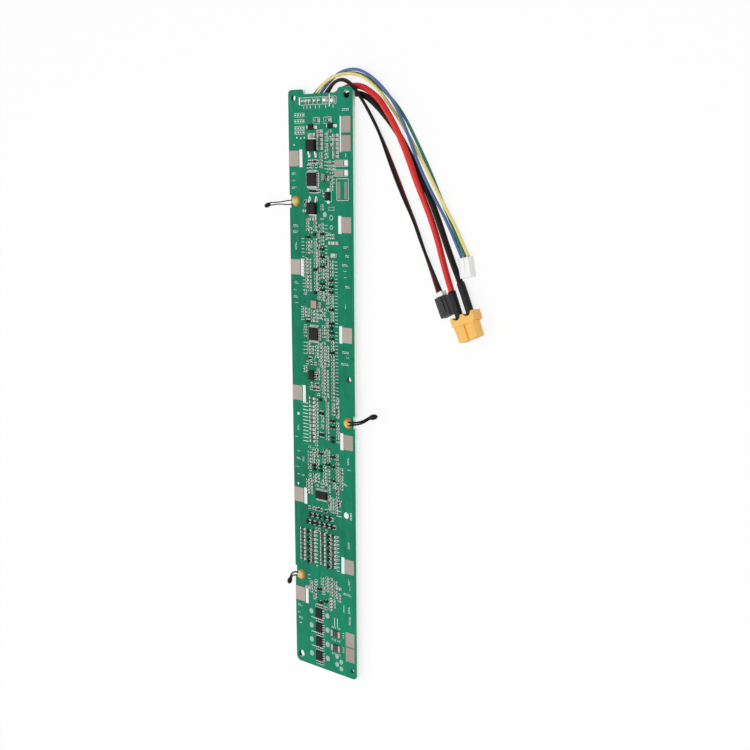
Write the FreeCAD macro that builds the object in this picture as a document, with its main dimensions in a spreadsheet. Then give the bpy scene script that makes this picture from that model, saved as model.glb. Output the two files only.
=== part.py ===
import FreeCAD, Part
import math
import os
import Sketcher

# Battery management board: a long narrow circuit board with cell tap pads down both edges,
# chips and small parts on the front face, seven wires to three plugs, and three temperature sensors.
# Millimetres. Origin at the centre of the board's back face, +Y to the wire end, +Z to the component side.

os.makedirs("parts", exist_ok=True)
doc = FreeCAD.newDocument("battery_management_board")
sheet = doc.addObject("Spreadsheet::Sheet", "Sizes")
V = FreeCAD.Vector

SIZES = [
    # board
    ("board_width", 44.0),
    ("board_thickness", 1.6),
    ("top_corner_radius", 2.0),
    ("bottom_corner_radius", 3.0),
    ("notch_left", 11.0),
    ("notch_right", 11.7),
    ("notch_depth", 2.4),
    ("sensor_notch_depth", 1.1),
    ("sensor_notch_length", 6.4),
    ("mounting_hole_radius", 2.0),
    ("locating_hole_radius", 1.5),
    ("edge_hole_radius", 1.4),
    ("small_hole_radius", 1.1),
    # rows of cell taps, measured along the board; the two shares are in cell pitches
    ("first_left_tap_margin", 33.7),
    ("cell_pitch", 54.4),
    ("bridge_share", 1.1967),
    ("last_left_tap_margin", 38.0),
    ("first_right_tap_margin", 17.8),
    ("second_right_tap_margin", 26.8),
    ("right_tap_share", 0.5956),
    ("last_right_tap_margin", 12.6),
    ("double_tap_pitch", 8.2),
    ("tap_pad_length", 7.0),
    ("tap_pad_width", 7.7),
    ("right_tap_pad_length", 6.2),
    ("right_tap_edge", 1.5),
    ("pad_thickness", 0.15),
    # round test points and empty footprints
    ("test_point_radius", 1.45),
    ("bottom_point_radius", 1.3),
    # wires, conductors and solder; the wires and plugs rest this far below the board's back face
    ("thin_wire_diameter", 1.5),
    ("thick_wire_diameter", 3.0),
    ("resting_height", 3.1),
    ("thin_pin_radius", 0.45),
    ("thick_pin_radius", 0.9),
    ("pin_clearance", 0.1),
    ("solder_height", 1.3),
    ("thin_solder_radius", 1.05),
    ("thick_solder_radius", 1.9),
    ("solder_top_share", 0.45),
    # shrink sleeves
    ("sleeve_diameter", 3.8),
    ("sleeve_clearance", 0.03),
    # power plug
    ("power_plug_x", 88.9),
    ("power_plug_y", 45.4),
    ("power_plug_angle", 23.0),
    ("power_plug_width", 13.6),
    ("power_plug_height", 6.2),
    ("power_plug_length", 12.2),
    ("power_collar_length", 4.8),
    ("power_collar_step", 0.45),
    ("power_pole_pitch", 6.6),
    ("power_bore_radius", 1.9),
    ("power_contact_wall", 0.55),
    ("power_contact_length", 10.6),
    ("power_groove_width", 1.3),
    ("power_groove_depth", 0.8),
    ("power_key_chamfer", 1.5),
    # charge plug
    ("charge_plug_x", 74.56),
    ("charge_plug_y", 52.25),
    ("charge_plug_angle", 25.0),
    ("charge_plug_width", 5.8),
    ("charge_plug_height", 4.6),
    ("charge_plug_length", 9.7),
    ("charge_insert_width", 5.0),
    ("charge_insert_height", 3.6),
    ("charge_insert_length", 2.2),
    ("charge_pole_pitch", 2.0),
    ("charge_bore_radius", 0.8),
    ("charge_contact_length", 8.4),
    ("charge_latch_width", 2.6),
    ("charge_latch_height", 0.5),
    # data plug
    ("data_plug_x", 88.16),
    ("data_plug_y", 71.05),
    ("data_plug_angle", 11.3),
    ("data_plug_width", 6.2),
    ("data_plug_height", 4.0),
    ("data_plug_length", 9.2),
    ("data_pole_pitch", 2.0),
    ("data_bore_side", 1.1),
    ("data_contact_side", 0.8),
    ("data_contact_length", 7.6),
    ("data_rib_width", 0.5),
    ("data_rib_height", 0.35),
    # temperature sensors
    ("sensor_lead_diameter", 0.5),
    ("sensor_bead_radius", 1.15),
    ("glue_radius", 2.85),
    ("glue_height", 2.0),
    # moulded packages
    ("package_standoff", 0.1),
    ("package_taper", 0.2),
    ("lead_thickness", 0.2),
    ("lead_foot", 0.6),
    ("regulator_width", 5.6),
    ("regulator_length", 5.9),
    ("regulator_height", 2.3),
    ("regulator_tab_width", 5.2),
    ("regulator_tab_reach", 3.0),
    ("regulator_tab_thickness", 0.5),
    ("regulator_lead_pitch", 4.5),
    ("regulator_lead_width", 0.8),
    ("regulator_lead_reach", 3.0),
    ("quad_side", 6.6),
    ("quad_height", 1.4),
    ("quad_lead_pitch", 0.8),
    ("quad_lead_width", 0.36),
    ("quad_lead_reach", 1.25),
    ("interface_width", 3.9),
    ("interface_length", 4.9),
    ("interface_height", 1.5),
    ("interface_lead_pitch", 1.27),
    ("interface_lead_width", 0.42),
    ("interface_lead_reach", 1.05),
    ("balance_chip_width", 7.8),
    ("balance_chip_length", 4.4),
    ("balance_chip_height", 1.1),
    ("balance_chip_lead_pitch", 0.65),
    ("balance_chip_lead_width", 0.26),
    ("balance_chip_lead_reach", 1.0),
    ("logic_width", 2.9),
    ("logic_length", 1.7),
    ("logic_height", 1.0),
    ("logic_lead_pitch", 0.95),
    ("logic_lead_width", 0.4),
    ("logic_lead_reach", 0.6),
    ("transistor_width", 4.9),
    ("transistor_length", 5.1),
    ("transistor_height", 1.0),
    ("transistor_pitch", 7.85),
    ("transistor_lead_pitch", 1.27),
    ("transistor_lead_width", 0.5),
    ("transistor_lead_reach", 1.1),
    ("transistor_tab_reach", 0.5),
    # two-ended blocks
    ("sense_width", 6.3),
    ("sense_length", 3.2),
    ("sense_height", 0.8),
    ("sense_pitch", 7.8),
    ("sense_end_width", 1.3),
    ("end_cap_rise", 0.04),
    ("diode_width", 2.9),
    ("diode_length", 4.3),
    ("diode_height", 1.2),
    ("diode_end_reach", 0.6),
    ("diode_end_width", 1.5),
    ("crystal_width", 4.0),
    ("crystal_length", 4.2),
    ("crystal_height", 1.0),
    ("ceramic_width", 2.0),
    ("ceramic_length", 4.0),
    ("ceramic_height", 1.2),
    ("fuse_width", 3.2),
    ("fuse_length", 2.2),
    ("fuse_height", 0.8),
    # small chip parts, laid along X
    ("small_chip_length", 1.6),
    ("small_chip_width", 0.8),
    ("resistor_height", 0.45),
    ("capacitor_height", 0.8),
    ("small_row_gap", 0.9),
    ("large_chip_length", 3.2),
    ("large_chip_width", 1.6),
    ("large_chip_height", 0.6),
    ("large_row_gap", 0.43),
    ("medium_chip_length", 2.1),
    ("medium_chip_width", 1.3),
    # three-legged transistors and two-legged diodes
    ("tiny_body_length", 2.9),
    ("tiny_body_width", 1.3),
    ("tiny_body_height", 1.0),
    ("tiny_leg_width", 0.4),
    ("tiny_leg_reach", 0.5),
    ("tiny_leg_spread", 1.9),
    ("glass_diode_length", 1.9),
    ("glass_diode_width", 1.25),
]
for row, (alias, value) in enumerate(SIZES, start=1):
    sheet.set("A%d" % row, alias)
    sheet.set("B%d" % row, str(value))
    sheet.setAlias("B%d" % row, alias)
doc.recompute()


def size(alias):
    return float(getattr(sheet, alias))


NODES = []


def keep(obj, label):
    obj.Label = label
    NODES.append(obj)
    return obj


def keep_shape(label, shapes):
    obj = doc.addObject("Part::Feature", "shape_" + label)
    obj.Shape = Part.makeCompound(shapes)
    obj.Placement = FreeCAD.Placement()
    return keep(obj, label)


# Places along the board, all from the two ends and the cell pitch. Everything between the first
# and the last tap keeps its share of the cell pitch; one share is a millimetre at a pitch of 54.4

TAP_SPAN = "(3 + Sizes.bridge_share) * Sizes.cell_pitch"
TAP_SUM = "(Sizes.first_left_tap_margin + " + TAP_SPAN + " + Sizes.last_left_tap_margin)"
share = size("cell_pitch") / 54.4
bridge = size("bridge_share") * size("cell_pitch")
board_length = size("first_left_tap_margin") + 3 * size("cell_pitch") + bridge
board_length += size("last_left_tap_margin")
half_width = size("board_width") / 2
top_end = board_length / 2
bottom_end = -top_end
front = size("board_thickness")

L1 = top_end - size("first_left_tap_margin")
L2 = L1 - size("cell_pitch")
L3 = L2 - bridge
L4 = L3 - size("cell_pitch")
L5 = L4 - size("cell_pitch")
left_taps = [L1, L2, L3, L4, L5]
R2 = L1 - size("right_tap_share") * size("cell_pitch")
R3 = R2 - size("cell_pitch")
R4 = R3 - size("cell_pitch")
R5 = R4 - bridge
right_taps = [top_end - size("first_right_tap_margin"), top_end - size("second_right_tap_margin")]
right_taps += [R2, R3, R4, R5]
right_taps.append(bottom_end + size("last_right_tap_margin") + size("double_tap_pitch"))
right_taps.append(bottom_end + size("last_right_tap_margin"))


# Circuit board: a milled glass-fibre blank with rounded corners, a shallow notch for the wires,
# shallow edge notches beside the temperature sensors and drilled holes


def plane(body, role):
    for feature in body.Origin.OriginFeatures:
        if feature.Role == role:
            return feature
    return None


def new_sketch(body, name, role="XY_Plane"):
    sketch = body.newObject("Sketcher::SketchObject", name)
    sketch.AttachmentSupport = [(plane(body, role), "")]
    sketch.MapMode = "FlatFace"
    return sketch


def bound(sketch, kind, name, expression, *geometry):
    # a named dimension of the sketch, driven by the sheet
    index = sketch.addConstraint(Sketcher.Constraint(kind, *geometry, 1.0))
    sketch.renameConstraint(index, name)
    sketch.setExpression("Constraints." + name, expression)


def rectangle(sketch, name, left, right, bottom, top):
    # four lines held by their two opposite corners, measured from the origin
    low = sketch.GeometryCount
    corners = [V(0, 0, 0), V(1, 0, 0), V(1, 1, 0), V(0, 1, 0)]
    for i in range(4):
        sketch.addGeometry(Part.LineSegment(corners[i], corners[(i + 1) % 4]), False)
    for i in range(4):
        sketch.addConstraint(Sketcher.Constraint("Coincident", low + i, 2, low + (i + 1) % 4, 1))
    for i in (0, 2):
        sketch.addConstraint(Sketcher.Constraint("Horizontal", low + i))
        sketch.addConstraint(Sketcher.Constraint("Vertical", low + i + 1))
    bound(sketch, "DistanceX", name + "_left", left, -1, 1, low, 1)
    bound(sketch, "DistanceX", name + "_right", right, -1, 1, low + 1, 2)
    bound(sketch, "DistanceY", name + "_bottom", bottom, -1, 1, low, 1)
    bound(sketch, "DistanceY", name + "_top", top, -1, 1, low + 1, 2)


def circle(sketch, name, radius, x, y):
    index = sketch.GeometryCount
    sketch.addGeometry(Part.Circle(V(0, 0, 0), V(0, 0, 1), 1), False)
    bound(sketch, "Radius", name + "_radius", radius, index)
    bound(sketch, "DistanceX", name + "_x", x, -1, 1, index, 3)
    bound(sketch, "DistanceY", name + "_y", y, -1, 1, index, 3)


def pocket_through(body, name, sketch):
    cut = body.newObject("PartDesign::Pocket", name)
    cut.Profile = sketch
    cut.Type = "ThroughAll"
    cut.Reversed = True
    return cut


SOLDER_JOINTS = [
    ("green", -11.1, 5.8, "thin"),
    ("yellow", -8.8, 5.8, "thin"),
    ("blue", -6.5, 5.8, "thin"),
    ("charge_red", -3.0, 5.8, "thin"),
    ("charge_black", -0.3, 5.8, "thin"),
    ("power_red", 4.0, 5.8, "thick"),
    ("power_black", 9.0, 6.2, "thick"),
]

HALF = "(" + TAP_SUM + " / 2)"
body = doc.addObject("PartDesign::Body", "Board")
outline = new_sketch(body, "BoardOutline")
rectangle(outline, "board", "-Sizes.board_width / 2", "Sizes.board_width / 2", "-" + HALF, HALF)
blank = body.newObject("PartDesign::Pad", "BoardBlank")
blank.Profile = outline
blank.setExpression("Length", "Sizes.board_thickness")

holes = new_sketch(body, "BoardHoles")
edge = "Sizes.board_width / 2"
left_column = "-(" + edge + " - 3.7)"
low_row = "-(" + HALF + " - 4.3)"
circle(holes, "mounting_top", "Sizes.mounting_hole_radius", edge + " - 4.1", HALF + " - 3.5")
circle(holes, "mounting_bottom", "Sizes.mounting_hole_radius", left_column, low_row)
circle(holes, "locating", "Sizes.locating_hole_radius", left_column, HALF + " - 4")
circle(holes, "edge", "Sizes.edge_hole_radius", edge + " - 4", "%.4f" % (L3 + 10.5 * share))
circle(holes, "small", "Sizes.small_hole_radius", edge + " - 3.3", low_row)
for name, x, inset, weight in SOLDER_JOINTS:
    radius = "Sizes.%s_pin_radius + Sizes.pin_clearance" % weight
    circle(holes, "wire_" + name, radius, str(x), HALF + " - " + str(inset))
pocket_through(body, "BoardDrilling", holes)

notches = new_sketch(body, "BoardNotches")
floor = HALF + " - Sizes.notch_depth"
rectangle(notches, "wires", "-Sizes.notch_left", "Sizes.notch_right", floor, HALF + " + 1")
NOTCHES = [("upper", -1, L1 - 21.3 * share), ("middle", 1, R4 + 10.7 * share),
           ("lower", -1, L5 + 11.8 * share)]
for name, side, y in NOTCHES:
    low = "%.4f - Sizes.sensor_notch_length / 2" % y
    high = "%.4f + Sizes.sensor_notch_length / 2" % y
    inner = edge + " - Sizes.sensor_notch_depth"
    outer = edge + " + 1"
    if side > 0:
        rectangle(notches, name, inner, outer, low, high)
    else:
        rectangle(notches, name, "-(" + outer + ")", "-(" + inner + ")", low, high)
last_cut = pocket_through(body, "BoardNotching", notches)
doc.recompute()


def upright_edges(shape, places, reach=0.05):
    # names of the shape's upright edges that stand at the given places
    found = []
    for number, candidate in enumerate(shape.Edges, start=1):
        a, b = candidate.Vertexes[0].Point, candidate.Vertexes[-1].Point
        if abs(a.z - b.z) > 0.5 and math.hypot(a.x - b.x, a.y - b.y) < 0.01:
            for x, y in places:
                if math.hypot(a.x - x, a.y - y) < reach:
                    found.append("Edge%d" % number)
    return found


rounded = body.newObject("PartDesign::Fillet", "TopCorners")
places = [(-half_width, top_end), (half_width, top_end)]
places += [(-size("notch_left"), top_end), (size("notch_right"), top_end)]
rounded.Base = (last_cut, upright_edges(last_cut.Shape, places))
rounded.setExpression("Radius", "Sizes.top_corner_radius")
doc.recompute()
lower = body.newObject("PartDesign::Fillet", "BottomCorners")
places = [(-half_width, bottom_end), (half_width, bottom_end)]
lower.Base = (rounded, upright_edges(rounded.Shape, places))
lower.setExpression("Radius", "Sizes.bottom_corner_radius")
body.Tip = lower
doc.recompute()
drilled = blank.Shape.Volume - body.Shape.Volume
print("board volume removed by holes, notches and corners: %.1f mm3" % drilled)
keep(body, "circuit_board")


# Tinned copper areas on the front face: cell tap pads along both edges, round test points
# and the bare footprint of a part that isn't fitted


def pad_box(name, length, width, x, y):
    # a flat pad centred on x, y and lying on the front face
    pad = doc.addObject("Part::Box", name)
    pad.setExpression("Length", length)
    pad.setExpression("Width", width)
    pad.setExpression("Height", "Sizes.pad_thickness")
    pad.setExpression("Placement.Base.x", "%s - (%s) / 2" % (x, length))
    pad.setExpression("Placement.Base.y", "%s - (%s) / 2" % (y, width))
    pad.setExpression("Placement.Base.z", "Sizes.board_thickness")
    return pad


pads = []
for number, y in enumerate(left_taps, start=1):
    x = "-(Sizes.board_width / 2 - Sizes.tap_pad_length / 2 - 0.05)"
    pads.append(pad_box("LeftTap%d" % number, "Sizes.tap_pad_length", "Sizes.tap_pad_width", x, "%.4f" % y))
for number, y in enumerate(right_taps, start=1):
    x = "Sizes.board_width / 2 - Sizes.right_tap_edge - Sizes.right_tap_pad_length / 2"
    pad = pad_box("RightTap%d" % number, "Sizes.right_tap_pad_length", "Sizes.tap_pad_width", x, "%.4f" % y)
    pads.append(pad)
EMPTY_PADS = [
    ("UpperBar", 5.6, 2.5, 12.9, L1 - 2.6 * share),
    ("LowerBar", 5.6, 2.5, 12.9, L1 - 7.3 * share),
    ("SocketLeft", 2.3, 8.4, 12.5, L1 - 15.6 * share),
    ("SocketRight", 2.1, 8.4, 17.1, L1 - 15.6 * share),
]
for name, length, width, x, y in EMPTY_PADS:
    pads.append(pad_box(name, str(length), str(width), str(x), "%.4f" % y))

transistor_rows = []
for number in range(4):
    transistor_rows.append(bottom_end + 6.6 + number * size("transistor_pitch"))
points = []
for y in transistor_rows:
    points.append((-10.4, y, "test_point_radius"))
    points.append((1.3, y, "test_point_radius"))
for x, inset in ((8.0, 9.5), (8.0, 5.2), (11.0, 7.2), (11.0, 3.5)):
    points.append((x, bottom_end + inset, "bottom_point_radius"))
points.append((2.7, R2 + 4.8 * share, "bottom_point_radius"))
for number, (x, y, radius) in enumerate(points, start=1):
    point = doc.addObject("Part::Cylinder", "TestPoint%d" % number)
    point.setExpression("Radius", "Sizes." + radius)
    point.setExpression("Height", "Sizes.pad_thickness")
    point.setExpression("Placement.Base.z", "Sizes.board_thickness")
    point.Placement.Base = V(x, y, front)
    pads.append(point)
group = doc.addObject("Part::Compound", "TinnedAreas")
group.Links = pads
keep(group, "contact_pads")


# Wires: straight runs joined by tangent arcs, each arc as large as its two runs allow


def tube(name, points, diameter, show=True):
    corners = [V(*p) for p in points]
    edges = []
    radii = []
    start = corners[0]
    length = 0.0
    for i in range(1, len(corners) - 1):
        back = corners[i - 1] - corners[i]
        ahead = corners[i + 1] - corners[i]
        turn = math.pi - back.getAngle(ahead)
        reach = 0.45 * min(back.Length, ahead.Length)
        radius = reach / math.tan(turn / 2)
        first = corners[i] + V(back).normalize() * reach
        last = corners[i] + V(ahead).normalize() * reach
        inward = (V(back).normalize() + V(ahead).normalize()).normalize()
        centre = corners[i] + inward * (radius / math.cos(turn / 2))
        middle = centre - inward * radius
        edges.append(Part.LineSegment(start, first).toShape())
        edges.append(Part.Arc(first, middle, last).toShape())
        length += (first - start).Length + radius * turn
        start = last
        radii.append(radius)
    edges.append(Part.LineSegment(start, corners[-1]).toShape())
    length += (corners[-1] - start).Length
    path = Part.Wire(edges)
    section = Part.Wire(Part.Circle(corners[0], corners[1] - corners[0], diameter / 2).toShape())
    solid = path.makePipeShell([section], True, False)
    if show:
        expected = math.pi * diameter ** 2 / 4 * length
        print("%s: length %.1f, smallest radius %.1f, volume over section x length %.4f"
              % (name, length, min(radii), solid.Volume / expected))
        print("  radii " + " ".join("%.0f" % r for r in radii))
    return solid


ROUTES = {
    "power_wire_red": ("thick", [
        (5.0, 144.6, -1.6), (10.8, 148.5, -1.6), (18.5, 150.5, -1.6), (25.5, 149.9, -1.6),
        (31.7, 146.6, -1.3), (37.9, 142.9, -0.1), (44.9, 135.7, 1.4), (49.7, 128.7, 1.5),
        (53.6, 121.8, 1.5), (57.1, 114.9, 1.5), (61.1, 105.7, 1.4), (64.5, 96.6, -0.3),
        (68.0, 87.5, -1.6), (72.1, 77.5, -1.6), (75.5, 67.5, -1.3), (81.2, 55.2, -0.1),
        (85.86, 44.11, 0.0)]),
    "power_wire_black": ("thick", [
        (9.95, 143.9, -1.6), (15.6, 146.0, -1.6), (21.6, 146.9, -1.6), (27.8, 145.3, -1.6),
        (34.0, 141.0, -1.6), (40.0, 135.7, -1.6), (47.7, 127.7, -1.6), (55.8, 116.3, -1.6),
        (68.2, 96.6, -1.6), (79.6, 70.4, -1.5), (87.2, 57.8, -0.1), (91.94, 46.69, 0.0)]),
    "charge_wire_red": ("thin", [
        (-2.6, 144.6, -2.35), (1.7, 149.7, -2.35), (8.2, 153.3, -1.2), (15.0, 153.8, 0.4),
        (20.6, 151.5, 1.15), (24.4, 147.3, 1.1), (27.5, 142.6, 0.1), (30.6, 135.8, -1.9),
        (37.6, 124.4, -2.35), (45.2, 110.3, -2.35), (52.1, 96.4, -2.35), (58.1, 84.9, -2.35),
        (63.0, 73.4, -2.35), (67.7, 63.3, -2.2), (72.66, 53.95, -0.8)]),
    "charge_wire_black": ("thin", [
        (0.1, 144.7, -2.35), (4.3, 150.0, -1.3), (10.7, 153.0, 1.15), (16.4, 153.2, 2.3),
        (21.6, 150.9, 2.75), (25.6, 147.0, 2.4), (28.9, 142.0, 1.2), (32.3, 135.7, -0.3),
        (37.2, 127.2, -0.8), (43.7, 112.7, -0.8), (50.8, 98.7, -0.8), (57.9, 87.2, -0.8),
        (62.7, 76.2, -0.8), (69.6, 63.5, -0.8), (74.49, 54.77, -0.8)]),
    "data_wire_yellow": ("thin", [
        (-8.28, 144.62, -2.35), (-3.6, 149.3, -0.85), (3.2, 153.0, 0.3), (10.5, 155.6, 0.85),
        (18.2, 156.3, 0.6), (25.1, 155.0, -0.3), (31.2, 151.8, -0.6), (36.9, 146.9, -1.3),
        (42.8, 139.8, -2.35), (51.1, 129.7, -2.35), (58.6, 119.9, -1.7), (65.4, 111.2, -0.7),
        (71.5, 101.2, -0.7), (77.6, 92.2, -0.7), (82.4, 85.1, -1.2), (85.9, 77.5, -1.8),
        (90.06, 71.75, -1.1)]),
    "data_wire_green": ("thin", [
        (-10.7, 144.5, -2.35), (-5.7, 149.2, -2.35), (0.7, 153.4, -2.35), (7.4, 156.0, -2.35),
        (14.8, 156.7, -2.35), (22.6, 156.2, -2.35), (31.5, 152.1, -2.35), (43.4, 143.5, -2.35),
        (51.4, 134.9, -2.35), (59.6, 121.7, -2.35), (66.8, 109.6, -2.35), (73.3, 96.7, -2.35),
        (78.9, 86.5, -2.35), (83.4, 78.5, -2.0), (88.10, 71.36, -1.1)]),
    "data_wire_blue": ("thin", [
        (-6.1, 144.5, -2.35), (-1.2, 149.8, -2.35), (4.5, 153.4, -1.4), (10.4, 156.6, -0.65),
        (16.7, 158.1, -0.6), (23.6, 157.9, -0.6), (31.1, 154.7, -0.7), (39.0, 148.9, -0.7),
        (45.8, 141.8, -0.7), (52.6, 131.2, -0.6), (58.5, 119.4, 0.1), (64.5, 108.0, 0.3),
        (71.3, 96.9, -0.3), (76.7, 87.7, -1.5), (81.3, 78.7, -2.0), (86.14, 70.97, -1.1)]),
}
for name, (weight, points) in ROUTES.items():
    keep_shape(name, [tube(name, points, size(weight + "_wire_diameter"))])


# Solder joints: each conductor comes up through its drilled hole into a cone of solder on the front

joints = []
for name, x, inset, weight in SOLDER_JOINTS:
    y = top_end - inset
    foot = size(weight + "_wire_diameter") / 2 - size("resting_height") - size(weight + "_pin_radius")
    pin = Part.makeCylinder(size(weight + "_pin_radius"), front - foot, V(x, y, foot))
    base = size(weight + "_solder_radius")
    cone = Part.makeCone(base, base * size("solder_top_share"), size("solder_height"), V(x, y, front))
    joints.append(pin.fuse(cone).removeSplitter())
keep_shape("wire_solder_joints", joints)


# Shrink sleeves over the last stretch of both thick wires, up to the power plug's back face


def sleeve(points, length):
    # follows the end of the wire's own centre line: its last bend, then the run to the plug
    corners = [V(*p) for p in points[-3:]]
    back = (corners[0] - corners[1])
    ahead = (corners[2] - corners[1])
    turn = math.pi - back.getAngle(ahead)
    reach = 0.45 * min(back.Length, ahead.Length)
    radius = reach / math.tan(turn / 2)
    back.normalize()
    ahead.normalize()
    first = corners[1] + back * reach
    last = corners[1] + ahead * reach
    centre = corners[1] + (back + ahead).normalize() * (radius / math.cos(turn / 2))
    bent = min(length - (corners[2] - last).Length, radius * turn)
    straight = length - (corners[2] - last).Length - bent
    axis = ahead.cross(back)
    edges = []
    arc_start = centre + FreeCAD.Rotation(axis, -math.degrees(bent / radius)).multVec(last - centre)
    middle = centre + FreeCAD.Rotation(axis, -math.degrees(bent / radius) / 2).multVec(last - centre)
    if (arc_start - first).Length > (last - first).Length:
        axis = back.cross(ahead)
        arc_start = centre + FreeCAD.Rotation(axis, -math.degrees(bent / radius)).multVec(last - centre)
        middle = centre + FreeCAD.Rotation(axis, -math.degrees(bent / radius) / 2).multVec(last - centre)
    start = arc_start
    if straight > 0.01:
        start = first + back * straight
        edges.append(Part.LineSegment(start, first).toShape())
    edges.append(Part.Arc(arc_start, middle, last).toShape())
    edges.append(Part.LineSegment(last, corners[2]).toShape())
    direction = edges[0].tangentAt(edges[0].FirstParameter)
    shapes = []
    for diameter in (size("sleeve_diameter"), size("thick_wire_diameter") + 2 * size("sleeve_clearance")):
        ring = Part.Wire(Part.Circle(start, direction, diameter / 2).toShape())
        shapes.append(Part.Wire(edges).makePipeShell([ring], True, False))
    return shapes[0].cut(shapes[1])


SLEEVES = [("power_sleeve_red", "power_wire_red", 12.0), ("power_sleeve_black", "power_wire_black", 14.0)]
for name, wire, length in SLEEVES:
    keep_shape(name, [sleeve(ROUTES[wire][1], length)])


# Plugs, modelled with the back face at the origin and the nose towards -Y, then laid in place


def lay(obj, plug):
    lift = size(plug + "_plug_height") / 2 - size("resting_height")
    where = V(size(plug + "_plug_x"), size(plug + "_plug_y"), lift)
    turn = FreeCAD.Rotation(V(0, 0, 1), size(plug + "_plug_angle"))
    obj.Placement = FreeCAD.Placement(where, turn)


def pad_back(body, name, sketch, length):
    pad = body.newObject("PartDesign::Pad", name)
    pad.Profile = sketch
    pad.setExpression("Length", length)
    return pad


def chamfered(body, name, base, places, amount):
    # bevels the edges that run along the plug at the given places
    found = []
    for number, candidate in enumerate(base.Shape.Edges, start=1):
        a, b = candidate.Vertexes[0].Point, candidate.Vertexes[-1].Point
        if abs(a.y - b.y) > 1 and math.hypot(a.x - b.x, a.z - b.z) < 0.01:
            for x, z in places:
                if math.hypot(a.x - x, a.z - z) < 0.05:
                    found.append("Edge%d" % number)
    bevel = body.newObject("PartDesign::Chamfer", name)
    bevel.Base = (base, found)
    bevel.setExpression("Size", amount)
    return bevel


# Power plug: a wide moulded housing with a stepped collar and a keyed nose, grooved above and below
power = doc.addObject("PartDesign::Body", "PowerPlug")
sketch = new_sketch(power, "PowerNose", "XZ_Plane")
nose_x = "(Sizes.power_plug_width / 2 - Sizes.power_collar_step)"
nose_z = "(Sizes.power_plug_height / 2 - Sizes.power_collar_step)"
rectangle(sketch, "nose", "-" + nose_x, nose_x, "-" + nose_z, nose_z)
nose = pad_back(power, "PowerNosePad", sketch, "Sizes.power_plug_length")
doc.recompute()
half_x = size("power_plug_width") / 2 - size("power_collar_step")
half_z = size("power_plug_height") / 2 - size("power_collar_step")
key = chamfered(power, "PowerKey", nose, [(half_x, half_z), (half_x, -half_z)], "Sizes.power_key_chamfer")
doc.recompute()
collar_x = "(Sizes.power_plug_width / 2)"
collar_z = "(Sizes.power_plug_height / 2)"
sketch = new_sketch(power, "PowerGrooves", "XZ_Plane")
groove = "Sizes.power_groove_width / 2"
floor = "(" + nose_z + " - Sizes.power_groove_depth)"
beyond = "(" + collar_z + " + 1)"
rectangle(sketch, "upper", "-" + groove, groove, floor, beyond)
rectangle(sketch, "under", "-" + groove, groove, "-" + beyond, "-" + floor)
pocket_through(power, "PowerGrooving", sketch)
doc.recompute()
sketch = new_sketch(power, "PowerCollar", "XZ_Plane")
rectangle(sketch, "collar", "-" + collar_x, collar_x, "-" + collar_z, collar_z)
pad_back(power, "PowerCollarPad", sketch, "Sizes.power_collar_length")
sketch = new_sketch(power, "PowerBores", "XZ_Plane")
circle(sketch, "left", "Sizes.power_bore_radius", "-Sizes.power_pole_pitch / 2", "0")
circle(sketch, "right", "Sizes.power_bore_radius", "Sizes.power_pole_pitch / 2", "0")
doc.recompute()
before = power.Shape.Volume
pocket_through(power, "PowerBoring", sketch)
doc.recompute()
print("power plug volume %.1f of %.1f mm3 before boring" % (power.Shape.Volume, before))
lay(power, "power")
keep(power, "power_plug_housing")

# Brass sockets in the power plug's bores, each a turned tube closed at the wire's end
sockets = []
for side in (-1, 1):
    x = side * size("power_pole_pitch") / 2
    outer = size("power_bore_radius") - 0.1
    blank = Part.makeCylinder(outer, size("power_contact_length"), V(x, -0.1, 0), V(0, -1, 0))
    inner = outer - size("power_contact_wall")
    bore = Part.makeCylinder(inner, size("power_contact_length") - 2.0, V(x, -2.1, 0), V(0, -1, 0))
    sockets.append(blank.cut(bore))
contacts = keep_shape("power_plug_contacts", sockets)
lay(contacts, "power")

# Charge plug: a small black housing with a latch ridge and a white insert behind it
charge = doc.addObject("PartDesign::Body", "ChargePlug")
sketch = new_sketch(charge, "ChargeBlock", "XZ_Plane")
block_x = "Sizes.charge_plug_width / 2"
block_z = "Sizes.charge_plug_height / 2"
rectangle(sketch, "block", "-" + block_x, block_x, "-" + block_z, block_z + " - Sizes.charge_latch_height")
pad_back(charge, "ChargeBlockPad", sketch, "Sizes.charge_plug_length")
sketch = new_sketch(charge, "ChargeLatch", "XZ_Plane")
latch = "Sizes.charge_latch_width / 2"
rectangle(sketch, "latch", "-" + latch, latch, "0", block_z)
pad_back(charge, "ChargeLatchPad", sketch, "Sizes.charge_plug_length - 1.6")
sketch = new_sketch(charge, "ChargeBores", "XZ_Plane")
circle(sketch, "left", "Sizes.charge_bore_radius", "-Sizes.charge_pole_pitch / 2", "0")
circle(sketch, "right", "Sizes.charge_bore_radius", "Sizes.charge_pole_pitch / 2", "0")
pocket_through(charge, "ChargeBoring", sketch)
doc.recompute()
lay(charge, "charge")
keep(charge, "charge_plug_housing")

insert = doc.addObject("Part::Box", "ChargeInsert")
insert.setExpression("Length", "Sizes.charge_insert_width")
insert.setExpression("Width", "Sizes.charge_insert_length")
insert.setExpression("Height", "Sizes.charge_insert_height")
lay(insert, "charge")
offset = V(-size("charge_insert_width") / 2, 0, -size("charge_insert_height") / 2)
insert.Placement = insert.Placement.multiply(FreeCAD.Placement(offset, FreeCAD.Rotation()))
keep(insert, "charge_plug_insert")

pins = []
for side in (-1, 1):
    x = side * size("charge_pole_pitch") / 2
    radius = size("charge_bore_radius") - 0.1
    pins.append(Part.makeCylinder(radius, size("charge_contact_length"), V(x, -0.1, 0), V(0, -1, 0)))
contacts = keep_shape("charge_plug_contacts", pins)
lay(contacts, "charge")

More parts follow.
